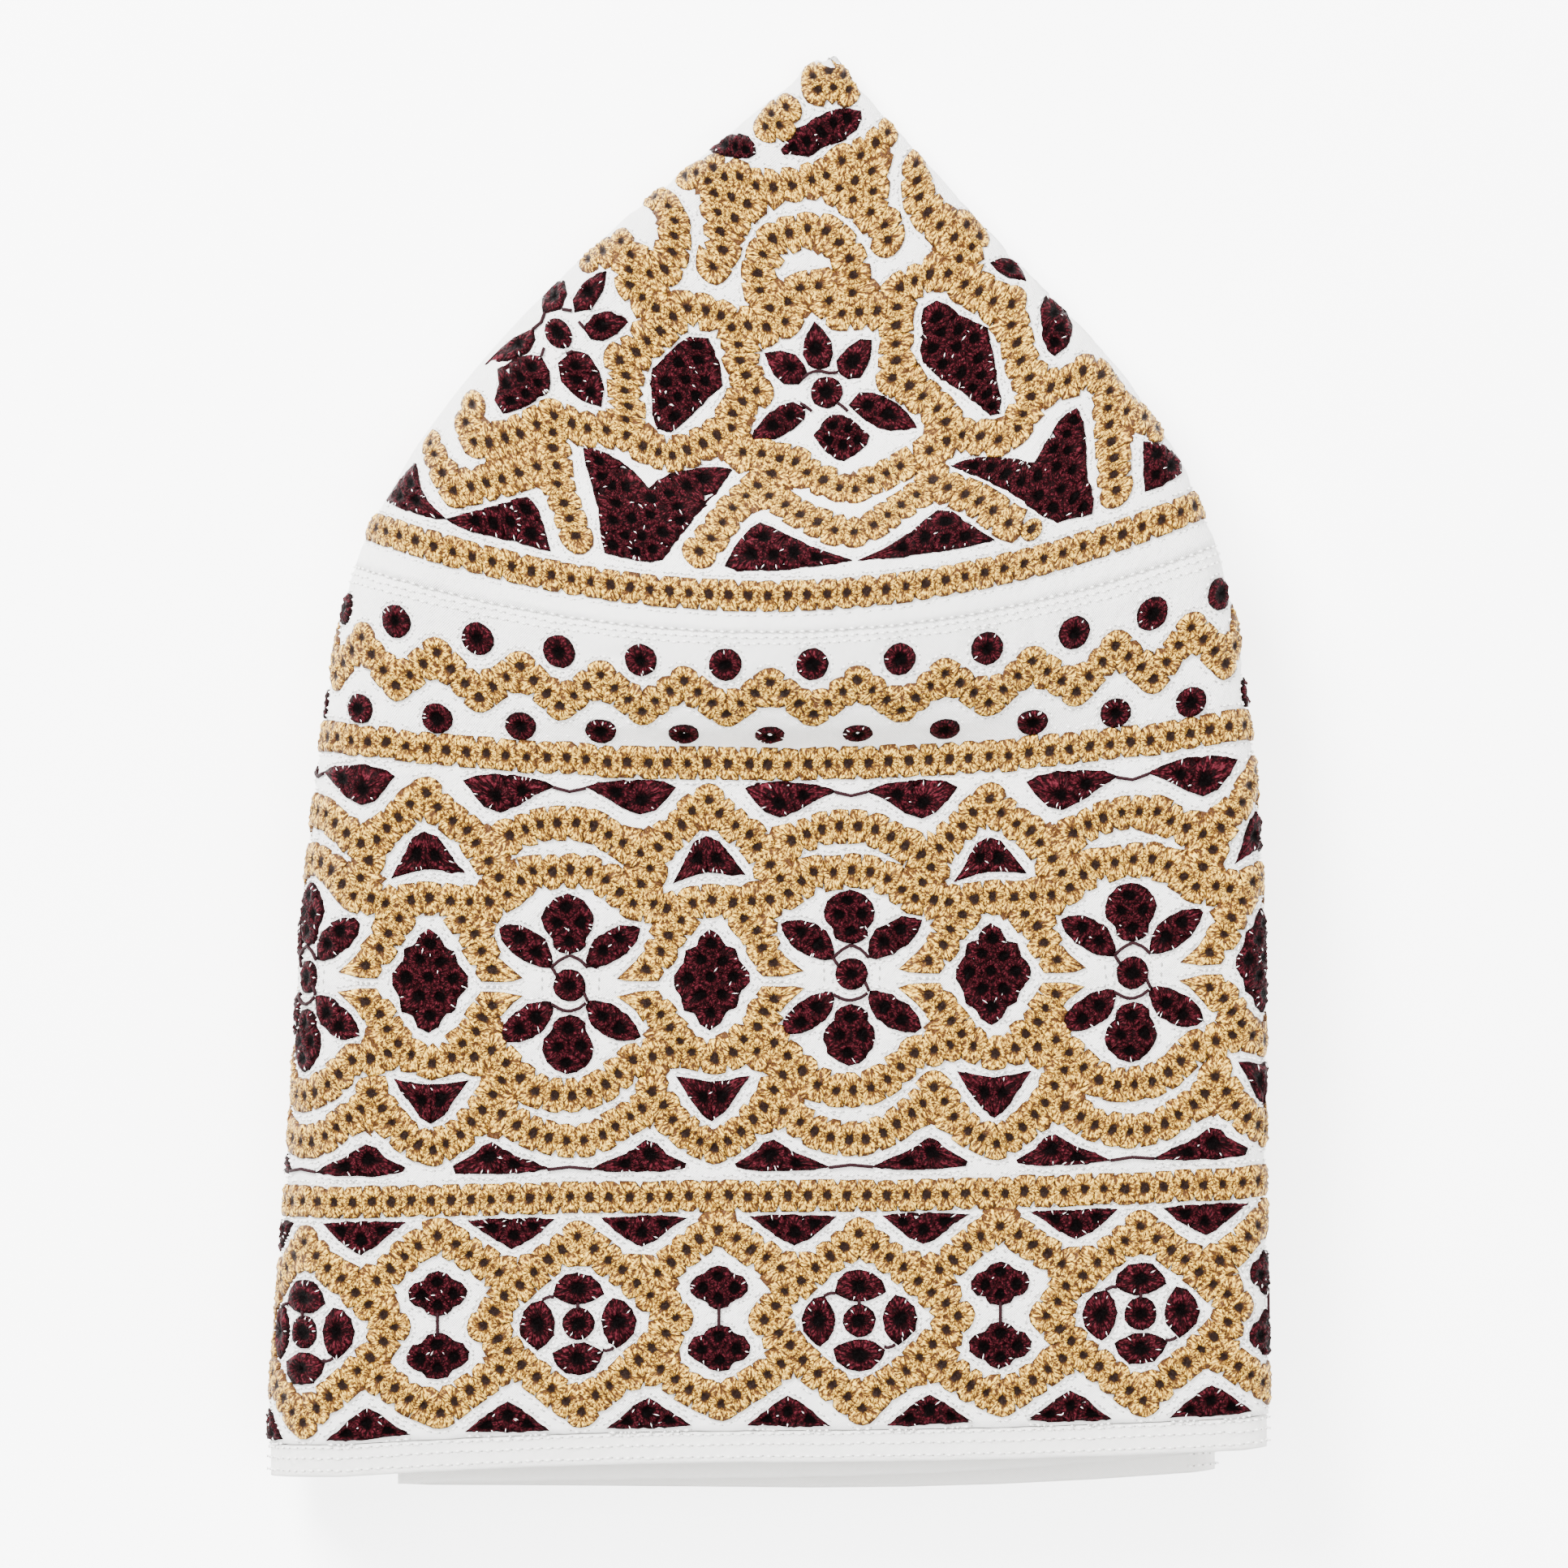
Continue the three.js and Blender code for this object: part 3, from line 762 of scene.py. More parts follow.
# The crown, in pixels of the photograph.
CROWN_GOLD = (
    ((951, 586), (934, 601), (920, 613), (904, 628), (891, 646), (877, 666), (863, 682)),
    ((684, 555), (688, 577), (690, 599), (698, 623), (705, 642), (712, 663)),
    (
        (948, 613), (968, 624), (986, 636), (1007, 646), (1028, 656), (1052, 658), (1075, 649),
        (1092, 637), (1109, 625), (1128, 612),
    ),
    (
        (980, 572), (994, 585), (1014, 594), (1034, 603), (1053, 605), (1072, 594), (1091, 586),
        (1108, 577),
    ),
    ((1147, 594), (1166, 603), (1187, 612), (1204, 620), (1221, 632), (1240, 647)),
    (
        (583, 500), (576, 523), (587, 547), (606, 549), (626, 543), (644, 538), (665, 527),
        (686, 516), (707, 525), (726, 531), (749, 533), (774, 539),
    ),
    (
        (531, 547), (537, 562), (548, 586), (562, 607), (584, 603), (603, 598), (622, 593),
        (642, 585), (665, 578),
    ),
    (
        (815, 411), (799, 424), (786, 437), (766, 448), (773, 466), (772, 485), (776, 504),
        (773, 520),
    ),
    (
        (910, 428), (912, 448), (920, 466), (932, 485), (916, 498), (904, 513), (902, 530),
        (885, 540), (867, 549), (848, 558), (830, 564), (813, 560), (794, 553),
    ),
    ((916, 560), (939, 562), (961, 568)),
    (
        (806, 243), (823, 256), (832, 275), (832, 294), (830, 314), (820, 335), (802, 341),
        (793, 370), (809, 383), (830, 393), (848, 383), (871, 386), (889, 393), (902, 407),
        (922, 405), (945, 406), (967, 399),
    ),
    ((724, 320), (742, 310), (765, 299), (778, 317), (777, 336), (778, 355)),
    (
        (949, 383), (937, 361), (934, 340), (941, 317), (953, 298), (972, 290), (995, 285),
        (1017, 288), (1033, 302), (1046, 322), (1051, 342), (1050, 364),
    ),
    ((971, 375), (986, 359), (1008, 356), (1021, 374), (1037, 390), (1058, 388), (1080, 386)),
    (
        (1144, 341), (1126, 349), (1108, 358), (1104, 382), (1103, 404), (1103, 427), (1103, 448),
        (1099, 469), (1119, 479), (1135, 492), (1153, 507), (1163, 523), (1183, 539),
    ),
    (
        (1167, 340), (1187, 354), (1204, 363), (1222, 375), (1244, 379), (1244, 404), (1251, 426),
        (1255, 448), (1266, 469), (1268, 492), (1258, 514), (1251, 531), (1228, 545), (1205, 541),
        (1165, 546), (1144, 558),
    ),
    (
        (1292, 481), (1312, 473), (1331, 461), (1354, 465), (1364, 485), (1362, 506), (1363, 527),
        (1365, 548), (1368, 568), (1368, 588), (1371, 607),
    ),
    ((1385, 510), (1408, 516), (1424, 529)),
    (
        (881, 241), (902, 246), (921, 254), (905, 272), (889, 289), (891, 311), (879, 332),
        (932, 232), (953, 234), (976, 231), (1000, 225), (1018, 219), (1037, 201), (1060, 194),
        (1079, 179), (1094, 165), (1073, 214), (1053, 226), (1034, 235), (1051, 249), (1075, 239),
        (1073, 264), (1089, 281), (1093, 299), (873, 226), (857, 214), (843, 217), (893, 221),
        (912, 221), (885, 265), (879, 209),
    ),
    (
        (1129, 204), (1129, 226), (1132, 246), (1142, 265), (1157, 281), (1175, 296), (1181, 323),
        (1196, 308), (1191, 280), (1206, 294),
    ),
    ((1001, 95), (1022, 88), (1008, 112), (1027, 110), (1046, 112), (1040, 94)),
    ((968, 134), (950, 142), (943, 158), (960, 156)),
)
CROWN_TIPS = ((1268, 655), (684, 536))
KITE_LEFT = (
    (850, 418), (873, 420), (882, 436), (887, 453), (891, 477), (878, 489), (867, 500),
    (848, 519), (828, 535), (811, 531), (805, 514), (805, 496), (803, 476), (805, 457),
    (814, 447), (825, 438), (836, 427),
)
KITE_LEFT_HOLES = (
    (860, 430), (861, 446), (838, 451), (846, 471), (869, 473), (823, 475), (836, 492),
    (858, 490), (819, 500), (832, 516),
)
KITE_RIGHT = (
    (1136, 383), (1152, 374), (1167, 379), (1179, 391), (1196, 398), (1214, 407), (1218, 422),
    (1223, 447), (1226, 473), (1230, 492), (1229, 512), (1218, 514), (1200, 499), (1183, 485),
    (1158, 470), (1136, 450), (1132, 434), (1136, 418), (1133, 400),
)
KITE_RIGHT_HOLES = (
    (1154, 395), (1158, 413), (1179, 411), (1198, 420), (1148, 432), (1177, 431), (1203, 446),
    (1160, 452), (1183, 463), (1206, 467), (1197, 481), (1213, 490), (1219, 504),
)
FORK_LEFT = (
    (721, 555), (734, 556), (747, 560), (765, 570), (782, 582), (792, 592), (801, 603),
    (812, 594), (825, 586), (846, 582), (867, 578), (885, 578), (902, 580), (893, 595),
    (883, 609), (869, 624), (856, 640), (844, 656), (832, 671), (825, 681), (817, 691),
    (801, 695), (785, 692), (770, 689), (747, 683), (742, 665), (741, 648), (737, 622),
    (731, 597), (724, 576),
)
FORK_LEFT_HOLES = (
    (741, 572), (745, 590), (757, 601), (772, 603), (762, 623), (780, 642), (758, 644),
    (805, 617), (826, 611), (848, 601), (866, 592), (836, 627), (803, 638), (817, 658),
    (793, 665), (772, 663), (758, 675), (840, 644), (786, 682), (805, 679),
)
FORK_RIGHT = (
    (1169, 576), (1185, 570), (1202, 566), (1233, 566), (1252, 569), (1272, 572), (1280, 557),
    (1288, 543), (1300, 523), (1311, 513), (1323, 506), (1331, 523), (1334, 542), (1335, 562),
    (1335, 586), (1340, 601), (1344, 617), (1342, 636), (1323, 640), (1300, 646), (1278, 636),
    (1263, 625), (1249, 613), (1227, 601), (1206, 590), (1187, 583),
)
FORK_RIGHT_HOLES = (
    (1198, 577), (1218, 579), (1235, 588), (1255, 597), (1275, 590), (1276, 614), (1294, 628),
    (1304, 606), (1319, 618), (1330, 629), (1317, 582), (1311, 558), (1299, 578), (1311, 538),
    (1320, 522), (1296, 556),
)
SHAPES = (
    (
        ((614, 457), (638, 442), (655, 440), (669, 442), (680, 461), (681, 474), (679, 485),
         (663, 497), (646, 506), (622, 512), (611, 496), (616, 476)),
        ((657, 457), (644, 469), (626, 478), (665, 475), (650, 488), (632, 496)),
    ),
    (
        ((690, 450), (708, 436), (727, 440), (741, 461), (746, 482), (743, 504), (720, 496),
         (706, 485), (694, 473)),
        ((711, 455), (714, 471), (729, 486)),
    ),
    (
        ((597, 450), (617, 430), (637, 415), (657, 407), (660, 420), (650, 436), (625, 446)),
        ((640, 426),),
    ),
    (
        ((721, 408), (733, 391), (750, 387), (768, 391), (776, 400), (762, 414), (745, 423),
         (730, 421)),
        ((742, 405),),
    ),
    (
        ((709, 387), (706, 372), (718, 352), (735, 338), (747, 336), (744, 360), (730, 384)),
        ((726, 362),),
    ),
    (((669, 387), (668, 367), (680, 350), (694, 346), (698, 362), (690, 382)), ((683, 366),)),
    (
        ((1002, 539), (1012, 525), (1023, 514), (1036, 514), (1047, 518), (1059, 528), (1070, 539),
         (1067, 550), (1058, 558), (1039, 570), (1026, 566), (1016, 558)),
        ((1026, 528), (1044, 532), (1022, 545), (1055, 545), (1038, 550)),
    ),
    (
        ((1003, 399), (1014, 408), (1023, 424), (1026, 439), (1021, 453), (1009, 458), (996, 453),
         (989, 439), (991, 421)),
        ((1004, 432),),
    ),
    (
        ((942, 438), (962, 435), (980, 440), (991, 453), (994, 465), (984, 476), (966, 476), (953, 464)),
        ((975, 456),),
    ),
    (
        ((1044, 431), (1059, 421), (1073, 422), (1073, 435), (1068, 453), (1059, 467), (1044, 470),
         (1032, 460), (1030, 447)),
        ((1050, 449),),
    ),
    (
        ((1045, 502), (1058, 486), (1074, 487), (1089, 492), (1104, 500), (1117, 512), (1128, 529),
         (1112, 532), (1097, 533), (1080, 528), (1066, 521)),
        ((1068, 503), (1092, 513)),
    ),
    (
        ((992, 506), (977, 498), (960, 503), (944, 515), (930, 533), (924, 547), (941, 545),
         (960, 541), (978, 531), (990, 519)),
        ((974, 515), (953, 527)),
    ),
    (((1218, 327), (1233, 320), (1253, 325), (1264, 348), (1241, 344), (1226, 336)), ((1243, 335),)),
    (
        ((1288, 366), (1303, 372), (1314, 386), (1321, 403), (1318, 417), (1311, 430), (1296, 442),
         (1288, 433), (1282, 422), (1280, 403), (1280, 383)),
        ((1298, 388), (1303, 408), (1296, 424)),
    ),
    (KITE_LEFT, KITE_LEFT_HOLES),
    (KITE_RIGHT, KITE_RIGHT_HOLES),
    (FORK_LEFT, FORK_LEFT_HOLES),
    (FORK_RIGHT, FORK_RIGHT_HOLES),
    (
        ((554, 642), (587, 633), (622, 623), (640, 617), (653, 615), (661, 623), (667, 632),
         (674, 656), (681, 681), (660, 676), (638, 669), (612, 664), (587, 658), (568, 651)),
        ((651, 630), (632, 646), (657, 660), (612, 648), (590, 645)),
    ),
    (
        ((476, 617), (494, 590), (513, 572), (517, 597), (525, 613), (533, 628), (554, 642),
         (540, 641), (521, 636), (497, 628)),
        ((508, 598), (515, 618), (495, 613)),
    ),
    (
        ((894, 700), (905, 677), (914, 665), (925, 653), (937, 646), (952, 652), (967, 660),
         (987, 669), (1008, 679), (1028, 686), (1049, 693), (1028, 697), (1008, 699), (984, 702),
         (960, 705), (934, 705), (908, 705)),
        ((941, 665), (927, 685), (953, 686), (978, 684), (1005, 690)),
    ),
    (
        ((1056, 693), (1087, 679), (1106, 667), (1125, 653), (1140, 641), (1153, 631), (1170, 632),
         (1182, 640), (1194, 649), (1208, 659), (1223, 668), (1204, 673), (1184, 677), (1161, 681),
         (1139, 684), (1113, 688), (1087, 691)),
        ((1163, 646), (1163, 666), (1186, 664), (1138, 665), (1110, 678)),
    ),
    (
        ((1405, 547), (1419, 548), (1432, 551), (1444, 559), (1453, 570), (1453, 586), (1441, 594),
         (1428, 601), (1406, 609), (1404, 588), (1404, 567)),
        ((1422, 563), (1438, 577), (1420, 588)),
    ),
    (
        ((872, 185), (884, 176), (894, 167), (909, 165), (921, 169), (930, 180), (932, 192),
         (923, 197), (909, 197), (894, 193), (880, 189)),
        ((894, 180), (906, 183), (918, 187)),
    ),
    (
        ((962, 187), (968, 180), (980, 167), (982, 160), (994, 155), (1005, 146), (1018, 140),
         (1032, 136), (1046, 136), (1059, 139), (1061, 148), (1055, 162), (1041, 172), (1023, 180),
         (1010, 185), (996, 196), (987, 194), (976, 192), (966, 193)),
        ((994, 177), (1013, 166), (1027, 155), (978, 185), (1043, 148)),
    ),
)
CROWN_DOTS = ((689, 413), (1018, 486))
CROWN_LINKS = (
    ((657, 409), (668, 400), (672, 388)), ((694, 384), (706, 386)), ((715, 400), (722, 408)),
    ((700, 440), (708, 436)), ((672, 432), (669, 442)),
    ((988, 470), (998, 462), (1009, 460), (1022, 463), (1032, 462)),
    ((986, 500), (993, 504), (1000, 510)), ((1032, 500), (1038, 504), (1044, 510)),
)


def place_finder(places: Array) -> kdtree.KDTree:
    """A finder of the nearest of many places on the cloth.

    Args:
        places: flat distance and height of each.

    Returns:
        The finder, which numbers them in their order.
    """
    finder = kdtree.KDTree(len(places))
    for i, (t, v) in enumerate(places):
        finder.insert((t, v, 0), i)
    finder.balance()
    return finder


def mirrored_spots(spots: tuple[Spot, ...], across: float = 1.0, down: float = 1.0) -> tuple[Spot, ...]:
    """Spots with their two coordinates multiplied, as by -1 to mirror them."""
    return tuple((x * across, y * down) for x, y in spots)


@dataclass
class Eyelet:
    """One worked hole: its place on the cloth, its thread, and what bounds it."""

    t: float
    v: float
    thread: Thread
    reach: float
    outline: int = -1


@dataclass
class Needlework:
    """Collects every eyelet, patch and linking thread on the cap, as places on the cloth."""

    cap: FoldedCap
    seed: int = 11
    eyelets: list[Eyelet] = field(default_factory=list)
    outlines: list[tuple[Array, Thread]] = field(default_factory=list)
    links: list[Array] = field(default_factory=list)
    # Places of the grey dashes of painted shade down the stitch columns.
    column_shade_marks: list[Array] = field(default_factory=list)

    def __post_init__(self) -> None:
        """Starts the random draws."""
        self.chance = np.random.default_rng(self.seed)

    def _lift(self, t: Array, v: Array) -> Array:
        """How far each part of the pattern was worked above its line.

        Args:
            t: flat distances.
            v: heights on the line.

        Returns:
            Millimetres up the cloth, less than nothing where the work sits lower.
        """
        column = np.interp(t, *LIFT_COLUMNS) * np.interp(v, *LIFT_ZONE)
        return column - np.interp(v, *LOWERED_LEVELS) * np.interp(t, *LOWERED_COLUMNS)

    def _band_place(self, spots: tuple[Spot, ...], t: float, v: float) -> tuple[Array, Array]:
        """Puts spots in pixels round a place on the band.

        Args:
            spots: pixels to the right and down.
            t: flat distance of their origin.
            v: height of their origin.

        Returns:
            Flat distances and heights.
        """
        xy = np.array(spots, float) * PIXEL
        flat = t + xy[:, 0] + self.chance.normal(0, 0.06, len(xy))
        level = v - xy[:, 1]
        return flat, level + self._lift(flat, level) + self.chance.normal(0, 0.06, len(xy))

    def _kept(self, t: float, v: float) -> bool:
        """Whether a place lies on the outer sides or folds and not inside the hollow."""
        corners = self.cap.corners(np.array(v))
        return float(corners[1]) + 0.5 < t < float(corners[6]) - 0.5

    def add_holes(self, t: Array, v: Array, thread: Thread, reach: float) -> None:
        """Adds single eyelets, unless one of the same thread is there.

        Args:
            t: their flat distances.
            v: their heights.
            thread: their thread.
            reach: how far their work spreads, in pixels.
        """
        for a, b in zip(t, v):
            if not self._kept(a, b):
                continue
            near = any(
                e.thread is thread and (e.t - a) ** 2 + (e.v - b) ** 2 < 1.3**2
                for e in self.eyelets[-700:]
            )
            if not near:
                self.eyelets.append(Eyelet(float(a), float(b), thread, reach * PIXEL))

    def add_patch(self, t: Array, v: Array, outline: Array, thread: Thread = Thread.MAROON) -> None:
        """Adds a patch of one or more eyelets within an outline.

        Args:
            t: flat distances of its holes.
            v: heights of its holes.
            outline: flat distance and height of each corner of its edge.
            thread: its thread.
        """
        if not all(self._kept(a, b) for a, b in zip(t, v)):
            return
        self.outlines.append((outline, thread))
        for a, b in zip(t, v):
            self.eyelets.append(
                Eyelet(float(a), float(b), thread, PATCH_REACH * PIXEL, len(self.outlines) - 1)
            )

    def band_gold(self, spots: tuple[Spot, ...], t: float, v: float, reach: float = GOLD_REACH) -> None:
        """Adds gold eyelets round a place on the band."""
        self.add_holes(*self._band_place(spots, t, v), Thread.GOLD, reach)

    def band_patch(
        self,
        outline: tuple[Spot, ...],
        holes: tuple[Spot, ...],
        t: float,
        v: float,
        thread: Thread = Thread.MAROON,
    ) -> None:
        """Adds a patch, maroon unless said, round a place on the band."""
        edge_t, edge_v = self._band_place(outline, t, v)
        self.add_patch(*self._band_place(holes, t, v), np.stack([edge_t, edge_v], -1), thread)

    def band_links(self, lines: tuple, t: float, v: float) -> None:
        """Adds thin maroon threads round a place on the band.

        Args:
            lines: the spots that each thread passes, in pixels.
            t: flat distance of their origin.
            v: height of their origin.
        """
        for line in lines:
            xy = np.array(line, float) * PIXEL
            flat, level = t + xy[:, 0], v - xy[:, 1]
            places = np.stack([flat, level + self._lift(flat, level)], -1)
            if all(self._kept(a, b) for a, b in places):
                self.links.append(places)

    def work_main_zone(self) -> None:
        """Works the flowers, arches and diamonds of the band."""
        for k in PERIODS:
            t, v = FLOWER_T + k * PERIOD, FLOWER_V
            for line in (ARCH, HUMP, INNER_ARC, LOWER_INNER_ARC, LOWER_ARCH, LOWER_HUMP, BARS):
                self.band_gold(line, t, v)
            for across, down, middle in ((1, 1, 0), (-1, 1, PERIOD), (1, -1, 0), (-1, -1, PERIOD)):
                drop = BAR_TIP_DROP * PIXEL if down < 0 else 0.0
                self.band_patch(
                    mirrored_spots(BAR_TIP, across, down),
                    mirrored_spots(BAR_TIP_HOLE, across, down),
                    t + middle,
                    v - drop,
                    Thread.GOLD,
                )
            self.add_holes(*self._band_place(((0, 0),), t, v), Thread.MAROON, MAROON_REACH)
            for down in (1, -1):
                self.band_patch(
                    mirrored_spots(BULB, 1, down), mirrored_spots(BULB_HOLES, 1, down), t, v
                )
                for across in (1, -1):
                    self.band_patch(
                        mirrored_spots(PETAL, across, down),
                        mirrored_spots(PETAL_HOLES, across, down),
                        t,
                        v,
                    )
            self.band_patch(DIAMOND, DIAMOND_HOLES, t, v)
            self.band_patch(DOME, DOME_HOLES, t, v)
            self.band_patch(LOWER_DOME, LOWER_DOME_HOLES, t, v)
            for across in (1, -1):
                self.band_patch(
                    mirrored_spots(WING, across), mirrored_spots(WING_HOLES, across), t, v
                )
                self.band_patch(
                    mirrored_spots(LOWER_WING, across), mirrored_spots(LOWER_WING_HOLES, across), t, v
                )
            self.band_links(FLOWER_LINKS, t, v)
            # Spots of the grey dashes of painted shade down the stitch columns.
            column_shade_marks = tuple((x, y) for x in SHADE_MARK_COLUMNS for y in SHADE_MARK_DROPS)
            self.column_shade_marks.append(np.stack(self._band_place(column_shade_marks, t, v)))

    def work_lower_zone(self) -> None:
        """Works the lattice of diamonds and clusters above the hem."""
        for k in PERIODS:
            t, v = CLUSTER_T + k * PERIOD, CLUSTER_V
            self.band_gold(LOWER_GOLD, t, v)
            self.add_holes(*self._band_place(((0, 0),), t, v), Thread.MAROON, MAROON_REACH)
            for down in (1, -1):
                self.band_patch(mirrored_spots(TOP_SEGMENT, 1, down), ((0, -43 * down),), t, v)
                self.band_patch(mirrored_spots(SIDE_SEGMENT, down), ((49 * down, -2),), t, v)
            for y, size in ((-42, 0.98), (34, 1.05)):
                blob = tuple((172 + a * size, y + b * size) for a, b in BLOB)
                holes = tuple((172 + a * size, y + b * size) for a, b in BLOB_HOLES)
                self.band_patch(blob, holes, t, v)
            for across in (1, -1):
                self.band_patch(
                    mirrored_spots(PENDANT, across), mirrored_spots(PENDANT_HOLES, across), t, v
                )
                self.band_patch(mirrored_spots(TENT, across), mirrored_spots(TENT_HOLES, across), t, v)
            self.band_links(CLUSTER_LINKS, t, v)

    def work_rows(self) -> None:
        """Works the straight gold rows, the two rows of dots and the zigzag between them."""
        for count, v, sag in ((196, 104.0, 0.55), (199, 39.4, 0.0)):
            pitch = self.cap.head / count
            t = np.arange(-count // 2 - 20, count // 2) * pitch
            jitter = self.chance.normal(0, 0.07, (2, len(t)))
            level = v - sag * np.clip(1 - (t / 66) ** 2, 0, 1)
            self.add_holes(t + jitter[0], level + jitter[1], Thread.GOLD, ROW_REACH)
        pitch = self.cap.head / 45
        k = np.arange(-24, 10)
        for start, v, reach in ((-6.32, 117.8, MAROON_REACH), (0.3, 107.4, 19.0)):
            t = start + k * pitch
            t = t * (1 - np.interp(t, *DRAWN_IN))
            self.add_holes(t, np.full(len(k), v), Thread.MAROON, reach)
        steps = np.arange(-24 * 6, 10 * 6)
        wave = np.abs((steps % 6) - 3) / 3
        v = 110.6 + 4.6 * wave
        t = 0.3 + steps * pitch / 6
        self.add_holes(t * (1 - np.interp(t, *DRAWN_IN)), v, Thread.GOLD, ROW_REACH)

    def work_crown(self) -> None:
        """Works the crown's front as it is seen and its back as the same seen through."""
        cap = self.cap
        pitch = 2.87
        steps = np.arange(-40, 40) * pitch
        v = np.full(len(steps), cap.seam + 4.7)
        crease = cap.mirrored(np.zeros(1), v[:1])[0] / 2
        near = steps[(steps > crease)]
        self.add_holes(near, v[: len(near)], Thread.GOLD, ROW_REACH)
        self.add_holes(2 * crease - near, v[: len(near)], Thread.GOLD, ROW_REACH)
        for side in Panel:
            for line in CROWN_GOLD:
                self.add_holes(*self._crown_place(line, side), Thread.GOLD, CROWN_REACH)
            self.add_holes(*self._crown_place(CROWN_TIPS, side), Thread.GOLD, CROWN_REACH * 0.64)
            self.add_holes(*self._crown_place(CROWN_DOTS, side), Thread.MAROON, MAROON_REACH)
            for outline, holes in SHAPES:
                edge = np.stack(self._crown_place(outline, side), -1)
                if side is Panel.BACK:
                    edge = edge[::-1]
                self.add_patch(*self._crown_place(holes, side), edge)
            for line in CROWN_LINKS:
                self.links.append(np.stack(self._crown_place(line, side), -1))

    def _crown_place(self, spots: tuple[Spot, ...], side: Panel) -> tuple[Array, Array]:
        """Puts spots of the photograph on the crown.

        Args:
            spots: pixels of the photograph.
            side: whether they lie on the front or on the back below them.

        Returns:
            Flat distances and heights.
        """
        xy = np.array(spots, float)
        x = (xy[:, 0] - PHOTO_MIDDLE_X) * PIXEL
        y = (PHOTO_MIDDLE_Y - xy[:, 1]) * PIXEL + self.cap.top - PLAN_TOP
        t, v = self.cap.from_plan(x, y)
        if side is Panel.BACK:
            t = self.cap.mirrored(t, v)
        return t, v


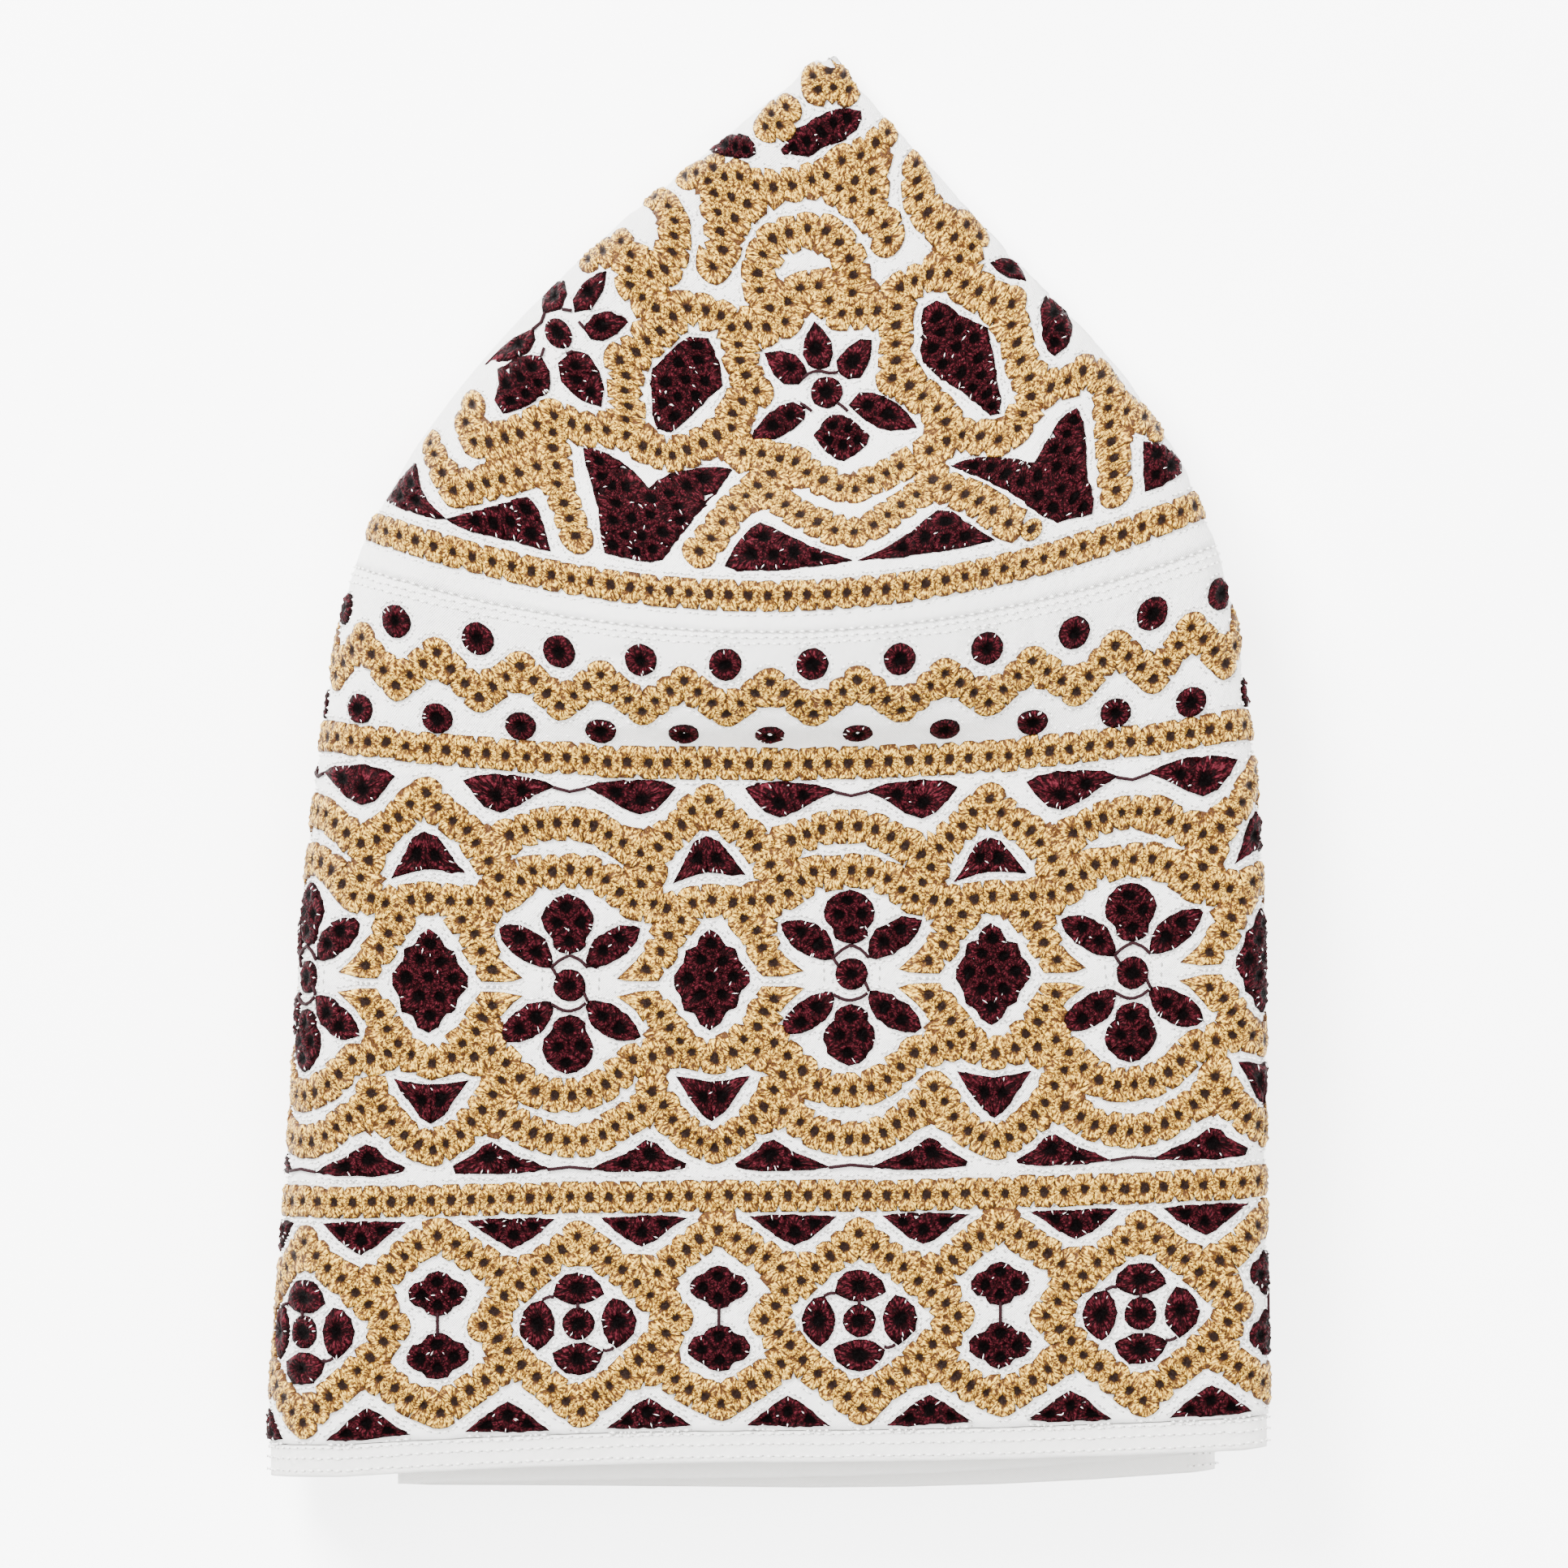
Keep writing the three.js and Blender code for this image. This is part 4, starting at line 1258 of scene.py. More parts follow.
@dataclass
class EyeletMesh:
    """Builds the raised work round every hole as one mesh a thread and a side."""

    cap: FoldedCap
    shaper: Shaper
    sides: int = 14
    seed: int = 5
    gold_hole: float = 0.54
    maroon_hole: float = 0.76
    hole_depth: float = 0.66
    rim_depth: float = 0.36
    crest_depth: float = 0.08
    foot_depth: float = 0.98

    def radii(self, work: Needlework) -> None:
        """Finds each eyelet's edge, where it meets its neighbours or its patch's outline.

        Args:
            work: the cap's needlework.
        """
        chance = np.random.default_rng(self.seed)
        eyelets = work.eyelets
        t = np.array([e.t for e in eyelets])
        v = np.array([e.v for e in eyelets])
        across, up, _ = self.cap.frame_at(t, v)
        self.stretch = np.stack([np.linalg.norm(across, axis=-1), np.linalg.norm(up, axis=-1)], -1)
        self.centres = np.stack([t, v], -1)
        finder = place_finder(self.centres)
        count = len(eyelets)
        self.angles = np.zeros((count, self.sides))
        self.reaches = np.zeros((count, self.sides))
        self.free = np.zeros((count, self.sides), bool)
        even = np.arange(self.sides) * 2 * math.pi / self.sides
        for i, e in enumerate(eyelets):
            scale = self.stretch[i]
            angles = even + chance.uniform(0, 2 * math.pi / self.sides)
            wobble = 1 + chance.uniform(-0.035, 0.035, self.sides)
            bound = e.outline >= 0
            limit = np.full(self.sides, e.reach)
            if bound:
                edge = (work.outlines[e.outline][0] - self.centres[i]) * scale
                angles = self._towards_corners(angles, edge)
                limit = self._to_outline(angles, edge)
            else:
                limit = limit * wobble
            reach = np.full(self.sides, 1e9)
            straight = np.zeros(self.sides)
            for _, j, _ in finder.find_range((e.t, e.v, 0), 2.2 * e.reach + 1.5):
                other = eyelets[j]
                apart = e.thread is Thread.MAROON and other.outline != e.outline
                if j == i or other.thread is not e.thread or apart:
                    continue
                offset = (self.centres[j] - self.centres[i]) * scale
                far = float(np.linalg.norm(offset))
                aside = angles - math.atan2(offset[1], offset[0])
                facing = np.cos(aside)
                wall = np.where(facing > 0.05, 0.5 * far / np.maximum(facing, 0.05), 1e9)
                reach = np.minimum(reach, wall)
                if far < 2.15 * e.reach:
                    line = e.reach / np.maximum(np.abs(np.sin(aside)), 0.05)
                    straight = np.maximum(straight, np.where(facing > 0, np.minimum(line, wall), 0))
            if not bound:
                limit = np.maximum(limit, straight * wobble)
            self.free[i] = reach >= limit
            reach = np.minimum(reach, limit)
            shrink = chance.uniform(1.0, 1.03, self.sides)
            self.angles[i] = angles
            self.reaches[i] = np.maximum(np.where(self.free[i], reach, reach * shrink), 0.55)

    def _towards_corners(self, angles: Array, edge: Array) -> Array:
        """Turns the nearest rays of an eyelet to the corners of its outline, sharpest first.

        Args:
            angles: the rays' angles.
            edge: the outline's corners, from the eyelet's hole.

        Returns:
            The turned angles.
        """
        turned = angles.copy()
        used = set()
        step = 2 * math.pi / self.sides
        before, after = edge - np.roll(edge, 1, 0), np.roll(edge, -1, 0) - edge
        crossed = before[:, 0] * after[:, 1] - before[:, 1] * after[:, 0]
        sharpness = np.abs(np.arctan2(crossed, (before * after).sum(1)))
        order = np.argsort(-sharpness / np.maximum(np.linalg.norm(edge, axis=-1), 0.5))
        for k in order:
            towards = math.atan2(edge[k, 1], edge[k, 0])
            gaps = (turned - towards + math.pi) % (2 * math.pi) - math.pi
            j = int(np.argmin(np.abs(gaps)))
            if j in used or abs(gaps[j]) > step / 2:
                continue
            turned[j] -= gaps[j]
            used.add(j)
        return turned

    @staticmethod
    def _to_outline(angles: Array, edge: Array) -> Array:
        """How far each ray runs until it meets the outline.

        Args:
            angles: the rays' angles.
            edge: the outline's corners, from the eyelet's hole.

        Returns:
            A length for each ray.
        """
        ray = np.stack([np.cos(angles), np.sin(angles)], -1)[:, None, :]
        a = edge[None, :, :]
        e = np.roll(edge, -1, 0)[None, :, :] - a
        cross = ray[..., 0] * e[..., 1] - ray[..., 1] * e[..., 0]
        safe = np.where(np.abs(cross) < 1e-9, 1e-9, cross)
        far = (a[..., 0] * e[..., 1] - a[..., 1] * e[..., 0]) / safe
        along = (a[..., 0] * ray[..., 1] - a[..., 1] * ray[..., 0]) / safe
        hit = (along >= -0.001) & (along <= 1.001) & (far > 0)
        return np.where(hit, far, 1e9).min(1).clip(0.5, 12.0)

    def build(self, work: Needlework, name: str, thread: Thread, side: Panel) -> bpy.types.Object:
        """Makes the eyelets of one thread on one side.

        Args:
            work: the cap's needlework.
            name: the piece's name.
            thread: which thread.
            side: which side of the fold's crease.

        Returns:
            The piece, with its own map of angle and distance from each hole.
        """
        chance = np.random.default_rng(self.seed + len(name))
        crease = self.cap.mirrored(np.zeros(len(self.centres)), self.centres[:, 1]) / 2
        chosen = np.array([e.thread is thread for e in work.eyelets])
        chosen &= (self.centres[:, 0] > crease) == (side is Panel.FRONT)
        index = np.nonzero(chosen)[0]
        n, m = len(index), self.sides
        hole = self.gold_hole if thread is Thread.GOLD else self.maroon_hole
        reach = self.reaches[index]
        size = hole * chance.uniform(0.72, 1.14, (n, 1))
        rim = np.minimum(size * (1 + chance.uniform(-0.32, 0.32, (n, m))), reach * 0.4)
        ridge = np.where(np.arange(m) % 2 == 0, 0.12, -0.12)[None, :] + chance.normal(0, 0.07, (n, m))
        crest_at = rim + (reach - rim) * (0.5 + chance.uniform(-0.08, 0.08, (n, m)))
        free = self.free[index]
        walled = ~(free | np.roll(free, 1, 1) | np.roll(free, -1, 1))
        edge_low = np.where(free, -0.34, -0.17) + chance.normal(0, 0.05, (n, m))
        rings = (
            (rim, np.full((n, m), -self.rim_depth)),
            (crest_at, ridge - self.crest_depth),
            (reach, edge_low),
            (reach + np.where(walled, 0.8, 0.04), np.where(walled, -0.55, -self.foot_depth)),
        )
        scale = self.stretch[index][:, None, :]
        middle = self.centres[index]
        angle = self.angles[index]
        places = [middle[:, None, :]]
        heights = [np.full((n, 1), -self.hole_depth)]
        for radius, height in rings:
            offset = np.stack([np.cos(angle), np.sin(angle)], -1) * radius[..., None] / scale
            places.append(middle[:, None, :] + offset)
            heights.append(height)
        flat = np.concatenate(places, 1)
        tall = np.concatenate(heights, 1)
        t, v = flat[..., 0], np.clip(flat[..., 1], 0.3, self.cap.top - 0.3)
        _, _, normal = self.cap.frame_at(t, v)
        points = self.cap.points(t, v) + normal * tall[..., None]
        faces, spots = self._ring_faces(n)
        points = points.reshape(-1, 3)
        if thread is Thread.MAROON:
            for outline, kind in work.outlines:
                if kind is not thread:
                    continue
                middle = outline.mean(0)
                bend = float(self.cap.mirrored(np.zeros(1), middle[1:])[0]) / 2
                if (middle[0] > bend) != (side is Panel.FRONT):
                    continue
                ground, corners = self._ground(outline, len(points))
                points = np.concatenate([points, ground])
                faces += corners
                for face in corners:
                    spots += [(0.9 * ground[k - len(points), 0], 0.62) for k in face]
        piece = self.shaper.mesh(name, points, faces)
        inside = np.zeros(len(piece.data.polygons), np.int32)
        inside[: 4 * m * n] = np.tile([1, 0, 0, 0], m * n)
        piece.data.polygons.foreach_set("material_index", inside)
        layer = piece.data.uv_layers.new(name="thread")
        layer.data.foreach_set("uv", np.array(spots, np.float32).ravel())
        return piece

    def _ring_faces(self, count: int) -> tuple[list, list]:
        """The faces of a number of eyelets, and where they lie on the thread's own map.

        Args:
            count: how many eyelets there are.

        Returns:
            The faces' point numbers, and a place on the map for each of their corners.
        """
        m = self.sides
        step = 1 + 4 * m
        faces, spots = [], []
        shares = (0.0, 0.2, 0.58, 0.92, 1.0)
        for k in range(count):
            base = k * step
            turn = 3.0 * (k % 97)
            for j in range(m):
                q = (j + 1) % m
                faces.append((base, base + 1 + j, base + 1 + q))
                spots += [
                    (turn + (j + 0.5) / m, shares[0]),
                    (turn + j / m, shares[1]), (turn + (j + 1) / m, shares[1]),
                ]
                for ring in range(3):
                    low = base + 1 + ring * m
                    faces.append((low + j, low + m + j, low + m + q, low + q))
                    spots += [
                        (turn + j / m, shares[ring + 1]), (turn + j / m, shares[ring + 2]),
                        (turn + (j + 1) / m, shares[ring + 2]), (turn + (j + 1) / m, shares[ring + 1]),
                    ]
        return faces, spots

    def _ground(self, outline: Array, first: int) -> tuple[Array, list]:
        """The low strip of thread that runs along a patch's outline, round its eyelets.

        Args:
            outline: places of the patch's edge.
            first: number of the first new point.

        Returns:
            Its points and its faces.
        """
        chance = np.random.default_rng(first)
        legs = np.roll(outline, -1, 0) - outline
        lengths = np.linalg.norm(legs, axis=1)
        bits = np.maximum(1, np.round(lengths / 0.75)).astype(int)
        fine = []
        for spot, leg, length, number in zip(outline, legs, lengths, bits):
            out = np.array([leg[1], -leg[0]]) / max(length, 1e-6)
            for k in range(number):
                fine.append(spot + leg * k / number + out * chance.uniform(-0.16, 0.16))
        outline = np.array(fine)
        t, v = outline[:, 0], outline[:, 1]
        _, _, normal = self.cap.frame_at(t, v)
        ground = self.cap.points(t, v)
        count = len(outline)
        centre = outline.mean(0)
        far = np.linalg.norm(outline - centre, axis=1, keepdims=True)
        layers = [ground - normal * self.foot_depth, ground - normal * 0.5]
        for width, depth in ((0.3, 0.34), (1.0, 0.84)):
            inner = centre + (outline - centre) * np.maximum(1 - width / far, 0.1)
            _, _, inner_normal = self.cap.frame_at(inner[:, 0], inner[:, 1])
            layers.append(self.cap.points(inner[:, 0], inner[:, 1]) - inner_normal * depth)
        points = np.concatenate(layers)
        faces = []
        for ring in range(3):
            low = first + ring * count
            for k in range(count):
                q = (k + 1) % count
                faces.append((low + k, low + q, low + count + q, low + count + k))
        area = float(np.sum(t * np.roll(v, -1) - np.roll(t, -1) * v))
        if area < 0:
            faces = [face[::-1] for face in faces]
        return points, faces


@dataclass
class Relief:
    """How high the cloth stands between the work, which pulls it down."""

    mesh: EyeletMesh
    swell: float = 0.45
    spread: float = 2.4
    dip: float = 0.3

    def __post_init__(self) -> None:
        centres, stretch = self.mesh.centres, self.mesh.stretch
        ray = np.stack([np.cos(self.mesh.angles), np.sin(self.mesh.angles)], -1)
        edges = centres[:, None, :] + ray * self.mesh.reaches[..., None] / stretch[:, None, :]
        self.size = self.mesh.reaches.mean(1)
        self.middles = place_finder(centres)
        self.edges = place_finder(edges.reshape(-1, 2))

    def __call__(self, t: Array, v: Array) -> Array:
        """The cloth's height above its ground.

        Args:
            t: flat distances.
            v: heights up the cloth.

        Returns:
            Millimetres, less than nothing where the work pulls the cloth down.
        """
        out = np.zeros(t.size)
        for k, place in enumerate(zip(t.ravel(), v.ravel())):
            spot = (place[0], place[1], 0)
            _, i, far = self.middles.find(spot)
            if far < self.size[i]:
                out[k] = -self.dip * min(1.0, 2 - 2 * far / self.size[i])
                continue
            _, _, gap = self.edges.find(spot)
            share = min(1.0, gap / self.spread)
            out[k] = self.swell * share * share * (3 - 2 * share)
        return out.reshape(t.shape)


@dataclass
class Stitching:
    """Small raised stitches and thin threads that lie on the cloth."""

    cap: FoldedCap
    shaper: Shaper
    width: float = 0.44
    tall: float = 0.3

    def lozenges(
        self, name: str, t: Array, v: Array, turn: Array, length: Array, height: Array
    ) -> bpy.types.Object:
        """Makes one small pointed stitch at each place.

        Args:
            name: the piece's name.
            t: flat distances of the stitches.
            v: heights of the stitches.
            turn: the direction of each, from across to up.
            length: how long each is.
            height: the cloth's height under each.

        Returns:
            The piece, all its stitches in one mesh.
        """
        across, up, normal = self.cap.frame_at(t, v)
        across /= np.linalg.norm(across, axis=-1, keepdims=True)
        up /= np.linalg.norm(up, axis=-1, keepdims=True)
        along = across * np.cos(turn)[:, None] + up * np.sin(turn)[:, None]
        side = np.cross(normal, along)
        centre = self.cap.points(t, v) + normal * height[:, None]
        half = length[:, None] / 2
        corners = np.stack([
            centre - along * half - normal * 0.08,
            centre + along * half - normal * 0.08,
            centre - side * self.width / 2,
            centre + side * self.width / 2,
            centre + normal * self.tall,
            centre - normal * self.tall,
        ], 1)
        faces = []
        for k in range(len(t)):
            b = 6 * k
            faces += [
                (b, b + 2, b + 4), (b + 2, b + 1, b + 4), (b + 1, b + 3, b + 4), (b + 3, b, b + 4),
                (b + 2, b, b + 5), (b + 1, b + 2, b + 5), (b + 3, b + 1, b + 5), (b, b + 3, b + 5),
            ]
        return self.shaper.mesh(name, corners.reshape(-1, 3), faces)

    def threads(self, name: str, lines: list[Array], width: float, height: float) -> bpy.types.Object:
        """Makes a thin half-round thread along each line on the cloth.

        Args:
            name: the piece's name.
            lines: places on the cloth that each thread follows.
            width: the threads' width.
            height: how high their backs stand against the cap's surface.

        Returns:
            The piece.
        """
        points, faces = [], []
        for line in lines:
            legs = np.linalg.norm(np.diff(line, axis=0), axis=1)
            far = np.concatenate([[0], np.cumsum(legs)])
            count = max(3, int(far[-1] / 0.6) + 1)
            at = np.linspace(0, far[-1], count)
            t = np.interp(at, far, line[:, 0])
            v = np.interp(at, far, line[:, 1])
            _, _, normal = self.cap.frame_at(t, v)
            centre = self.cap.points(t, v)
            along = np.gradient(centre, axis=0)
            along /= np.linalg.norm(along, axis=-1, keepdims=True)
            side = np.cross(normal, along)
            base = sum(len(p) for p in points)
            ring = np.stack([
                centre + side * width / 2 + normal * (height - 0.35),
                centre + side * width * 0.3 + normal * height,
                centre - side * width * 0.3 + normal * height,
                centre - side * width / 2 + normal * (height - 0.35),
            ], 1)
            points.append(ring.reshape(-1, 3))
            for k in range(count - 1):
                a, b = base + 4 * k, base + 4 * k + 4
                for j in range(4):
                    q = (j + 1) % 4
                    faces.append((a + j, b + j, b + q, a + q))
            faces.append((base, base + 1, base + 2, base + 3))
            last = base + 4 * (count - 1)
            faces.append((last + 3, last + 2, last + 1, last))
        return self.shaper.mesh(name, np.concatenate(points), faces)


class NodeWork:
    """The nodes of one new material, added and joined in single steps."""

    def __init__(self, name: str, surface: dict[str, float]) -> None:
        """Starts a material whose shader has the named values."""
        self.made = bpy.data.materials.new(name)
        self.made.use_nodes = True
        self.shader = self.made.node_tree.nodes["Principled BSDF"]
        self.fill(self.shader, surface)

    def fill(self, node: bpy.types.Node, inputs: dict) -> None:
        """Sets a node's inputs, and joins those that are given another node's output.

        Args:
            node: the node.
            inputs: values or outputs, by each input's name or number.
        """
        for socket, value in inputs.items():
            if isinstance(value, bpy.types.NodeSocket):
                self.made.node_tree.links.new(value, node.inputs[socket])
            else:
                node.inputs[socket].default_value = value

    def add(self, kind: str, inputs: dict | None = None, **settings: str) -> bpy.types.Node:
        """Adds a node.

        Args:
            kind: its type, without the words that every shader node's type begins with.
            inputs: values or outputs, by each input's name or number.
            settings: the node's own choices.

        Returns:
            The node.
        """
        node = self.made.node_tree.nodes.new("ShaderNode" + kind)
        for setting, value in settings.items():
            setattr(node, setting, value)
        self.fill(node, inputs or {})
        return node

    def sum(self, operation: str, *parts: bpy.types.NodeSocket | float) -> bpy.types.NodeSocket:
        """The result of one operation on numbers or outputs."""
        return self.add("Math", dict(enumerate(parts)), operation=operation).outputs[0]

    def blend(
        self, share: bpy.types.NodeSocket, low: Colour, high: Colour | bpy.types.NodeSocket
    ) -> bpy.types.NodeSocket:
        """A colour between two.

        Args:
            share: how much of the second one shows.
            low: the first colour.
            high: the second colour, or an output that gives it.

        Returns:
            The blended colour's output.
        """
        if not isinstance(high, bpy.types.NodeSocket):
            high = (*high, 1)
        inputs = {"Factor": share, "A": (*low, 1), "B": high}
        return self.add("Mix", inputs, data_type="RGBA").outputs["Result"]

    def ramp(
        self, share: bpy.types.NodeSocket, stops: tuple[tuple[float, Colour], ...]
    ) -> bpy.types.NodeSocket:
        """A colour that runs through several.

        Args:
            share: the output that it follows.
            stops: each place along it and the colour there.

        Returns:
            The colour's output.
        """
        node = self.add("ValToRGB", {"Fac": share})
        elements = node.color_ramp.elements
        for element, (position, colour) in ((elements[0], stops[0]), (elements[1], stops[-1])):
            element.position = position
            element.color = (*colour, 1)
        for position, colour in stops[1:-1]:
            elements.new(position).color = (*colour, 1)
        return node.outputs["Color"]

    def emboss(
        self, height: bpy.types.NodeSocket, strength: float, distance: float, **inputs
    ) -> bpy.types.NodeSocket:
        """A normal that stands up where a height does.

        Args:
            height: the height's output.
            strength: how much of it shows.
            distance: how far it stands up, in metres.
            inputs: the normal that it starts from, where it isn't the mesh's own.

        Returns:
            The normal's output.
        """
        inputs |= {"Height": height, "Strength": strength, "Distance": distance}
        return self.add("Bump", inputs).outputs["Normal"]


@dataclass(frozen=True)
class CottonFinish:
    """Plain woven white cotton, with uneven threads, painted shade between its woven threads and small
    soft puckers.
    """

    name: str
    colour: Colour = (0.87, 0.86, 0.84)
    shade: Colour = (0.72, 0.71, 0.695)
    thread_pitch: float = 0.36
    roughness: float = 0.88
    slub_scale: float = 160.0
    pucker_scale: float = 42.0
    pucker_depth: float = 0.0009
    weave_depth: float = 0.00015

    def material(self) -> bpy.types.Material:
        """The cloth's material, woven along its own flat coordinates."""
        work = NodeWork(self.name, {
            "Roughness": self.roughness, "Specular IOR Level": 0.25,
            "Sheen Weight": 0.25, "Sheen Roughness": 0.5,
        })
        place = work.add("UVMap", uv_map="cloth").outputs["UV"]
        split = work.add("SeparateXYZ", {"Vector": place})
        turns = 2 * math.pi * UV_LENGTH / self.thread_pitch
        waves = [
            work.sum("SINE", work.sum("MULTIPLY", split.outputs[axis], turns)) for axis in ("X", "Y")
        ]
        slub = work.add("TexNoise", {"Vector": place, "Scale": self.slub_scale, "Detail": 3.0})
        # The colour darkens with the uneven threads' own tone and with painted shade between the woven
        # threads, which the same weave also embosses.
        weave = work.sum("MULTIPLY_ADD", slub.outputs["Fac"], 1.6, work.sum("MULTIPLY", *waves))
        slub_and_weave_shade = work.add("MapRange", {"Value": weave, "From Min": -0.4, "From Max": 1.8})
        pucker = work.add("TexNoise", {"Vector": place, "Scale": self.pucker_scale, "Detail": 3.0})
        soft = work.emboss(pucker.outputs["Fac"], 0.7, self.pucker_depth)
        work.fill(work.shader, {
            "Base Color": work.blend(slub_and_weave_shade.outputs["Result"], self.shade, self.colour),
            "Normal": work.emboss(weave, 0.6, self.weave_depth, Normal=soft),
        })
        return work.made


@dataclass(frozen=True)
class ThreadFinish:
    """Knotty embroidery thread worked in loops round holes, its colour painted with shade in the
    hollows, darker still towards each hole, and with highlights on the crests.
    """

    name: str
    # Painted shadow, the thread's own colour, painted highlight, and the painted dark of the hole.
    shadow: Colour
    colour: Colour
    light: Colour
    hole: Colour
    roughness: float = 0.5
    sheen: float = 0.0
    gloss: float = 0.22
    strands: float = 36.0
    knot_scale: float = 2100.0
    knotting: float = 0.2
    span: tuple[float, float] = (0.89, 1.22)
    # Height by distance from the hole, which also lays painted shade at the hole's rim and at the edge
    # and painted light on the crest.
    radial_rise_and_shade: tuple[tuple[float, float], ...] = (
        (0.2, 0.34), (0.33, 0.47), (0.5, 0.55), (0.86, 0.53), (1.0, 0.36),
    )

    def material(self) -> bpy.types.Material:
        """The thread's material, which follows each eyelet's angle and distance from its hole."""
        work = NodeWork(self.name, {
            "Roughness": self.roughness, "Specular IOR Level": self.gloss,
            "Sheen Weight": self.sheen, "Sheen Roughness": 0.4,
        })
        place = work.add("UVMap", uv_map="thread").outputs["UV"]
        out = work.add("SeparateXYZ", {"Vector": place}).outputs["Y"]
        spread = work.add("Mapping", {"Vector": place, "Scale": (self.strands, 3.0, 1.0)})
        loops = work.add("TexNoise", {
            "Vector": spread.outputs["Vector"], "Scale": 1.0, "Detail": 2.0,
            "Roughness": 0.65, "Distortion": 0.35,
        })
        spot = work.add("TexCoord").outputs["Object"]
        knots = work.add("TexVoronoi", {"Vector": spot, "Scale": self.knot_scale, "Randomness": 1.0})
        knot = work.add("MapRange", {
            "Value": knots.outputs["Distance"], "From Min": 0.0, "From Max": 0.9,
            "To Min": self.knotting, "To Max": 0.0,
        })
        worked = work.sum("MULTIPLY_ADD", loops.outputs["Fac"], 0.85, knot.outputs["Result"])
        # The radial height, added to the loops and knots; it sets the bump and also the painted shade
        # and highlight.
        full = work.ramp(out, tuple((at, (level,) * 3) for at, level in self.radial_rise_and_shade))
        raised = work.sum("ADD", worked, full)
        low, high = self.span
        stretch = work.add("MapRange", {"Value": raised, "From Min": low, "From Max": high})
        # Painted shadow where the thread lies low, its own colour between, painted highlight where it
        # stands high.
        stops = ((0.26, self.shadow), (0.54, self.colour), (0.86, self.light))
        thread = work.ramp(stretch.outputs["Result"], stops)
        # Painted shade darkens the thread towards its hole.
        depth = work.add(
            "MapRange", {"Value": out, "From Min": 0.17, "From Max": 0.36},
            interpolation_type="SMOOTHSTEP",
        )
        work.fill(work.shader, {
            "Base Color": work.blend(depth.outputs["Result"], self.hole, thread),
            "Normal": work.emboss(raised, 1.0, 0.0011),
        })
        return work.made


@dataclass(frozen=True)
class HoleFinish:
    """The inside of a worked hole, painted dark with shade, a little lighter where threads cross it."""

    name: str
    dark: Colour
    crossing: Colour

    def material(self) -> bpy.types.Material:
        """The hole's material."""
        work = NodeWork(self.name, {"Roughness": 1.0, "Specular IOR Level": 0.0})
        spot = work.add("TexCoord").outputs["Object"]
        threads = work.add("TexNoise", {"Vector": spot, "Scale": 2400.0})
        colour = work.ramp(threads.outputs["Fac"], ((0.5, self.dark), (0.75, self.crossing)))
        work.fill(work.shader, {"Base Color": colour})
        return work.made


@dataclass(frozen=True)
class YarnFinish:
    """Smooth twisted yarn of one colour, for stitches and linking threads."""

    name: str
    colour: Colour
    dark: Colour
    roughness: float = 0.7
    sheen: float = 0.15
    gloss: float = 0.3

    def material(self) -> bpy.types.Material:
        """The yarn's material, with a fine uneven twist."""
        work = NodeWork(self.name, {
            "Roughness": self.roughness, "Specular IOR Level": self.gloss,
            "Sheen Weight": self.sheen,
        })
        spot = work.add("TexCoord").outputs["Object"]
        twist = work.add("TexNoise", {"Vector": spot, "Scale": 2600.0, "Detail": 2.0}).outputs["Fac"]
        work.fill(work.shader, {
            "Base Color": work.blend(twist, self.dark, self.colour),
            "Normal": work.emboss(twist, 0.6, 0.0002),
        })
        return work.made


def dress(piece: bpy.types.Object, *finishes: bpy.types.Material) -> None:
    """Gives a piece its materials, the first one wherever no face names another."""
    piece.data.materials.clear()
    for finish in finishes:
        piece.data.materials.append(finish)


def lamp(name: str, place: Vector, size: float, watts: float) -> None:
    """Adds a soft square lamp that shines at the cap.

    Args:
        name: the lamp's name.
        place: where it hangs, in metres.
        size: the length of its sides.
        watts: its power.
    """
    data = bpy.data.lights.new(name, "AREA")
    data.size = size
    data.energy = watts
    item = bpy.data.objects.new(name, data)
    item.location = place
    item.rotation_euler = (-place).to_track_quat("-Z", "Y").to_euler()
    bpy.context.scene.collection.objects.link(item)


def studio() -> None:
    """A plain pale floor, soft light and a camera straight overhead."""
    deselect()
    bpy.ops.mesh.primitive_plane_add(size=6, location=(0, 0, -0.0005))
    floor = bpy.context.object
    floor.name = "floor"
    white = bpy.data.materials.new("floor_white")
    white.use_nodes = True
    shader = white.node_tree.nodes["Principled BSDF"]
    shader.inputs["Base Color"].default_value = (0.95, 0.95, 0.95, 1)
    shader.inputs["Roughness"].default_value = 0.9
    shader.inputs["Specular IOR Level"].default_value = 0.0
    shader.inputs["Emission Color"].default_value = (1, 1, 1, 1)
    shader.inputs["Emission Strength"].default_value = 2.6
    dress(floor, white)
    lamp("key", Vector((-0.55, 0.75, 0.9)), 0.5, 66)
    lamp("fill", Vector((0.8, -0.3, 1.0)), 1.2, 14)
    lamp("top", Vector((0.0, 0.0, 1.6)), 1.6, 54)
    world = bpy.data.worlds.new("studio")
    bpy.context.scene.world = world
    world.use_nodes = True
    world.node_tree.nodes["Background"].inputs["Color"].default_value = (1, 1, 1, 1)
    world.node_tree.nodes["Background"].inputs["Strength"].default_value = 1.6
    data = bpy.data.cameras.new("camera")
    data.sensor_fit = "HORIZONTAL"
    data.sensor_width = 36
    distance = 2.2
    width = PHOTO_SIDE * PIXEL * MM
    data.lens = 36 * distance / width
    data.clip_end = 20
    camera = bpy.data.objects.new("camera", data)
    across = (PHOTO_SIDE / 2 - PHOTO_MIDDLE_X) * PIXEL * MM
    up = (PHOTO_MIDDLE_Y - PHOTO_SIDE / 2) * PIXEL * MM
    camera.location = (across, up, distance)
    bpy.context.scene.collection.objects.link(camera)
    bpy.context.scene.camera = camera


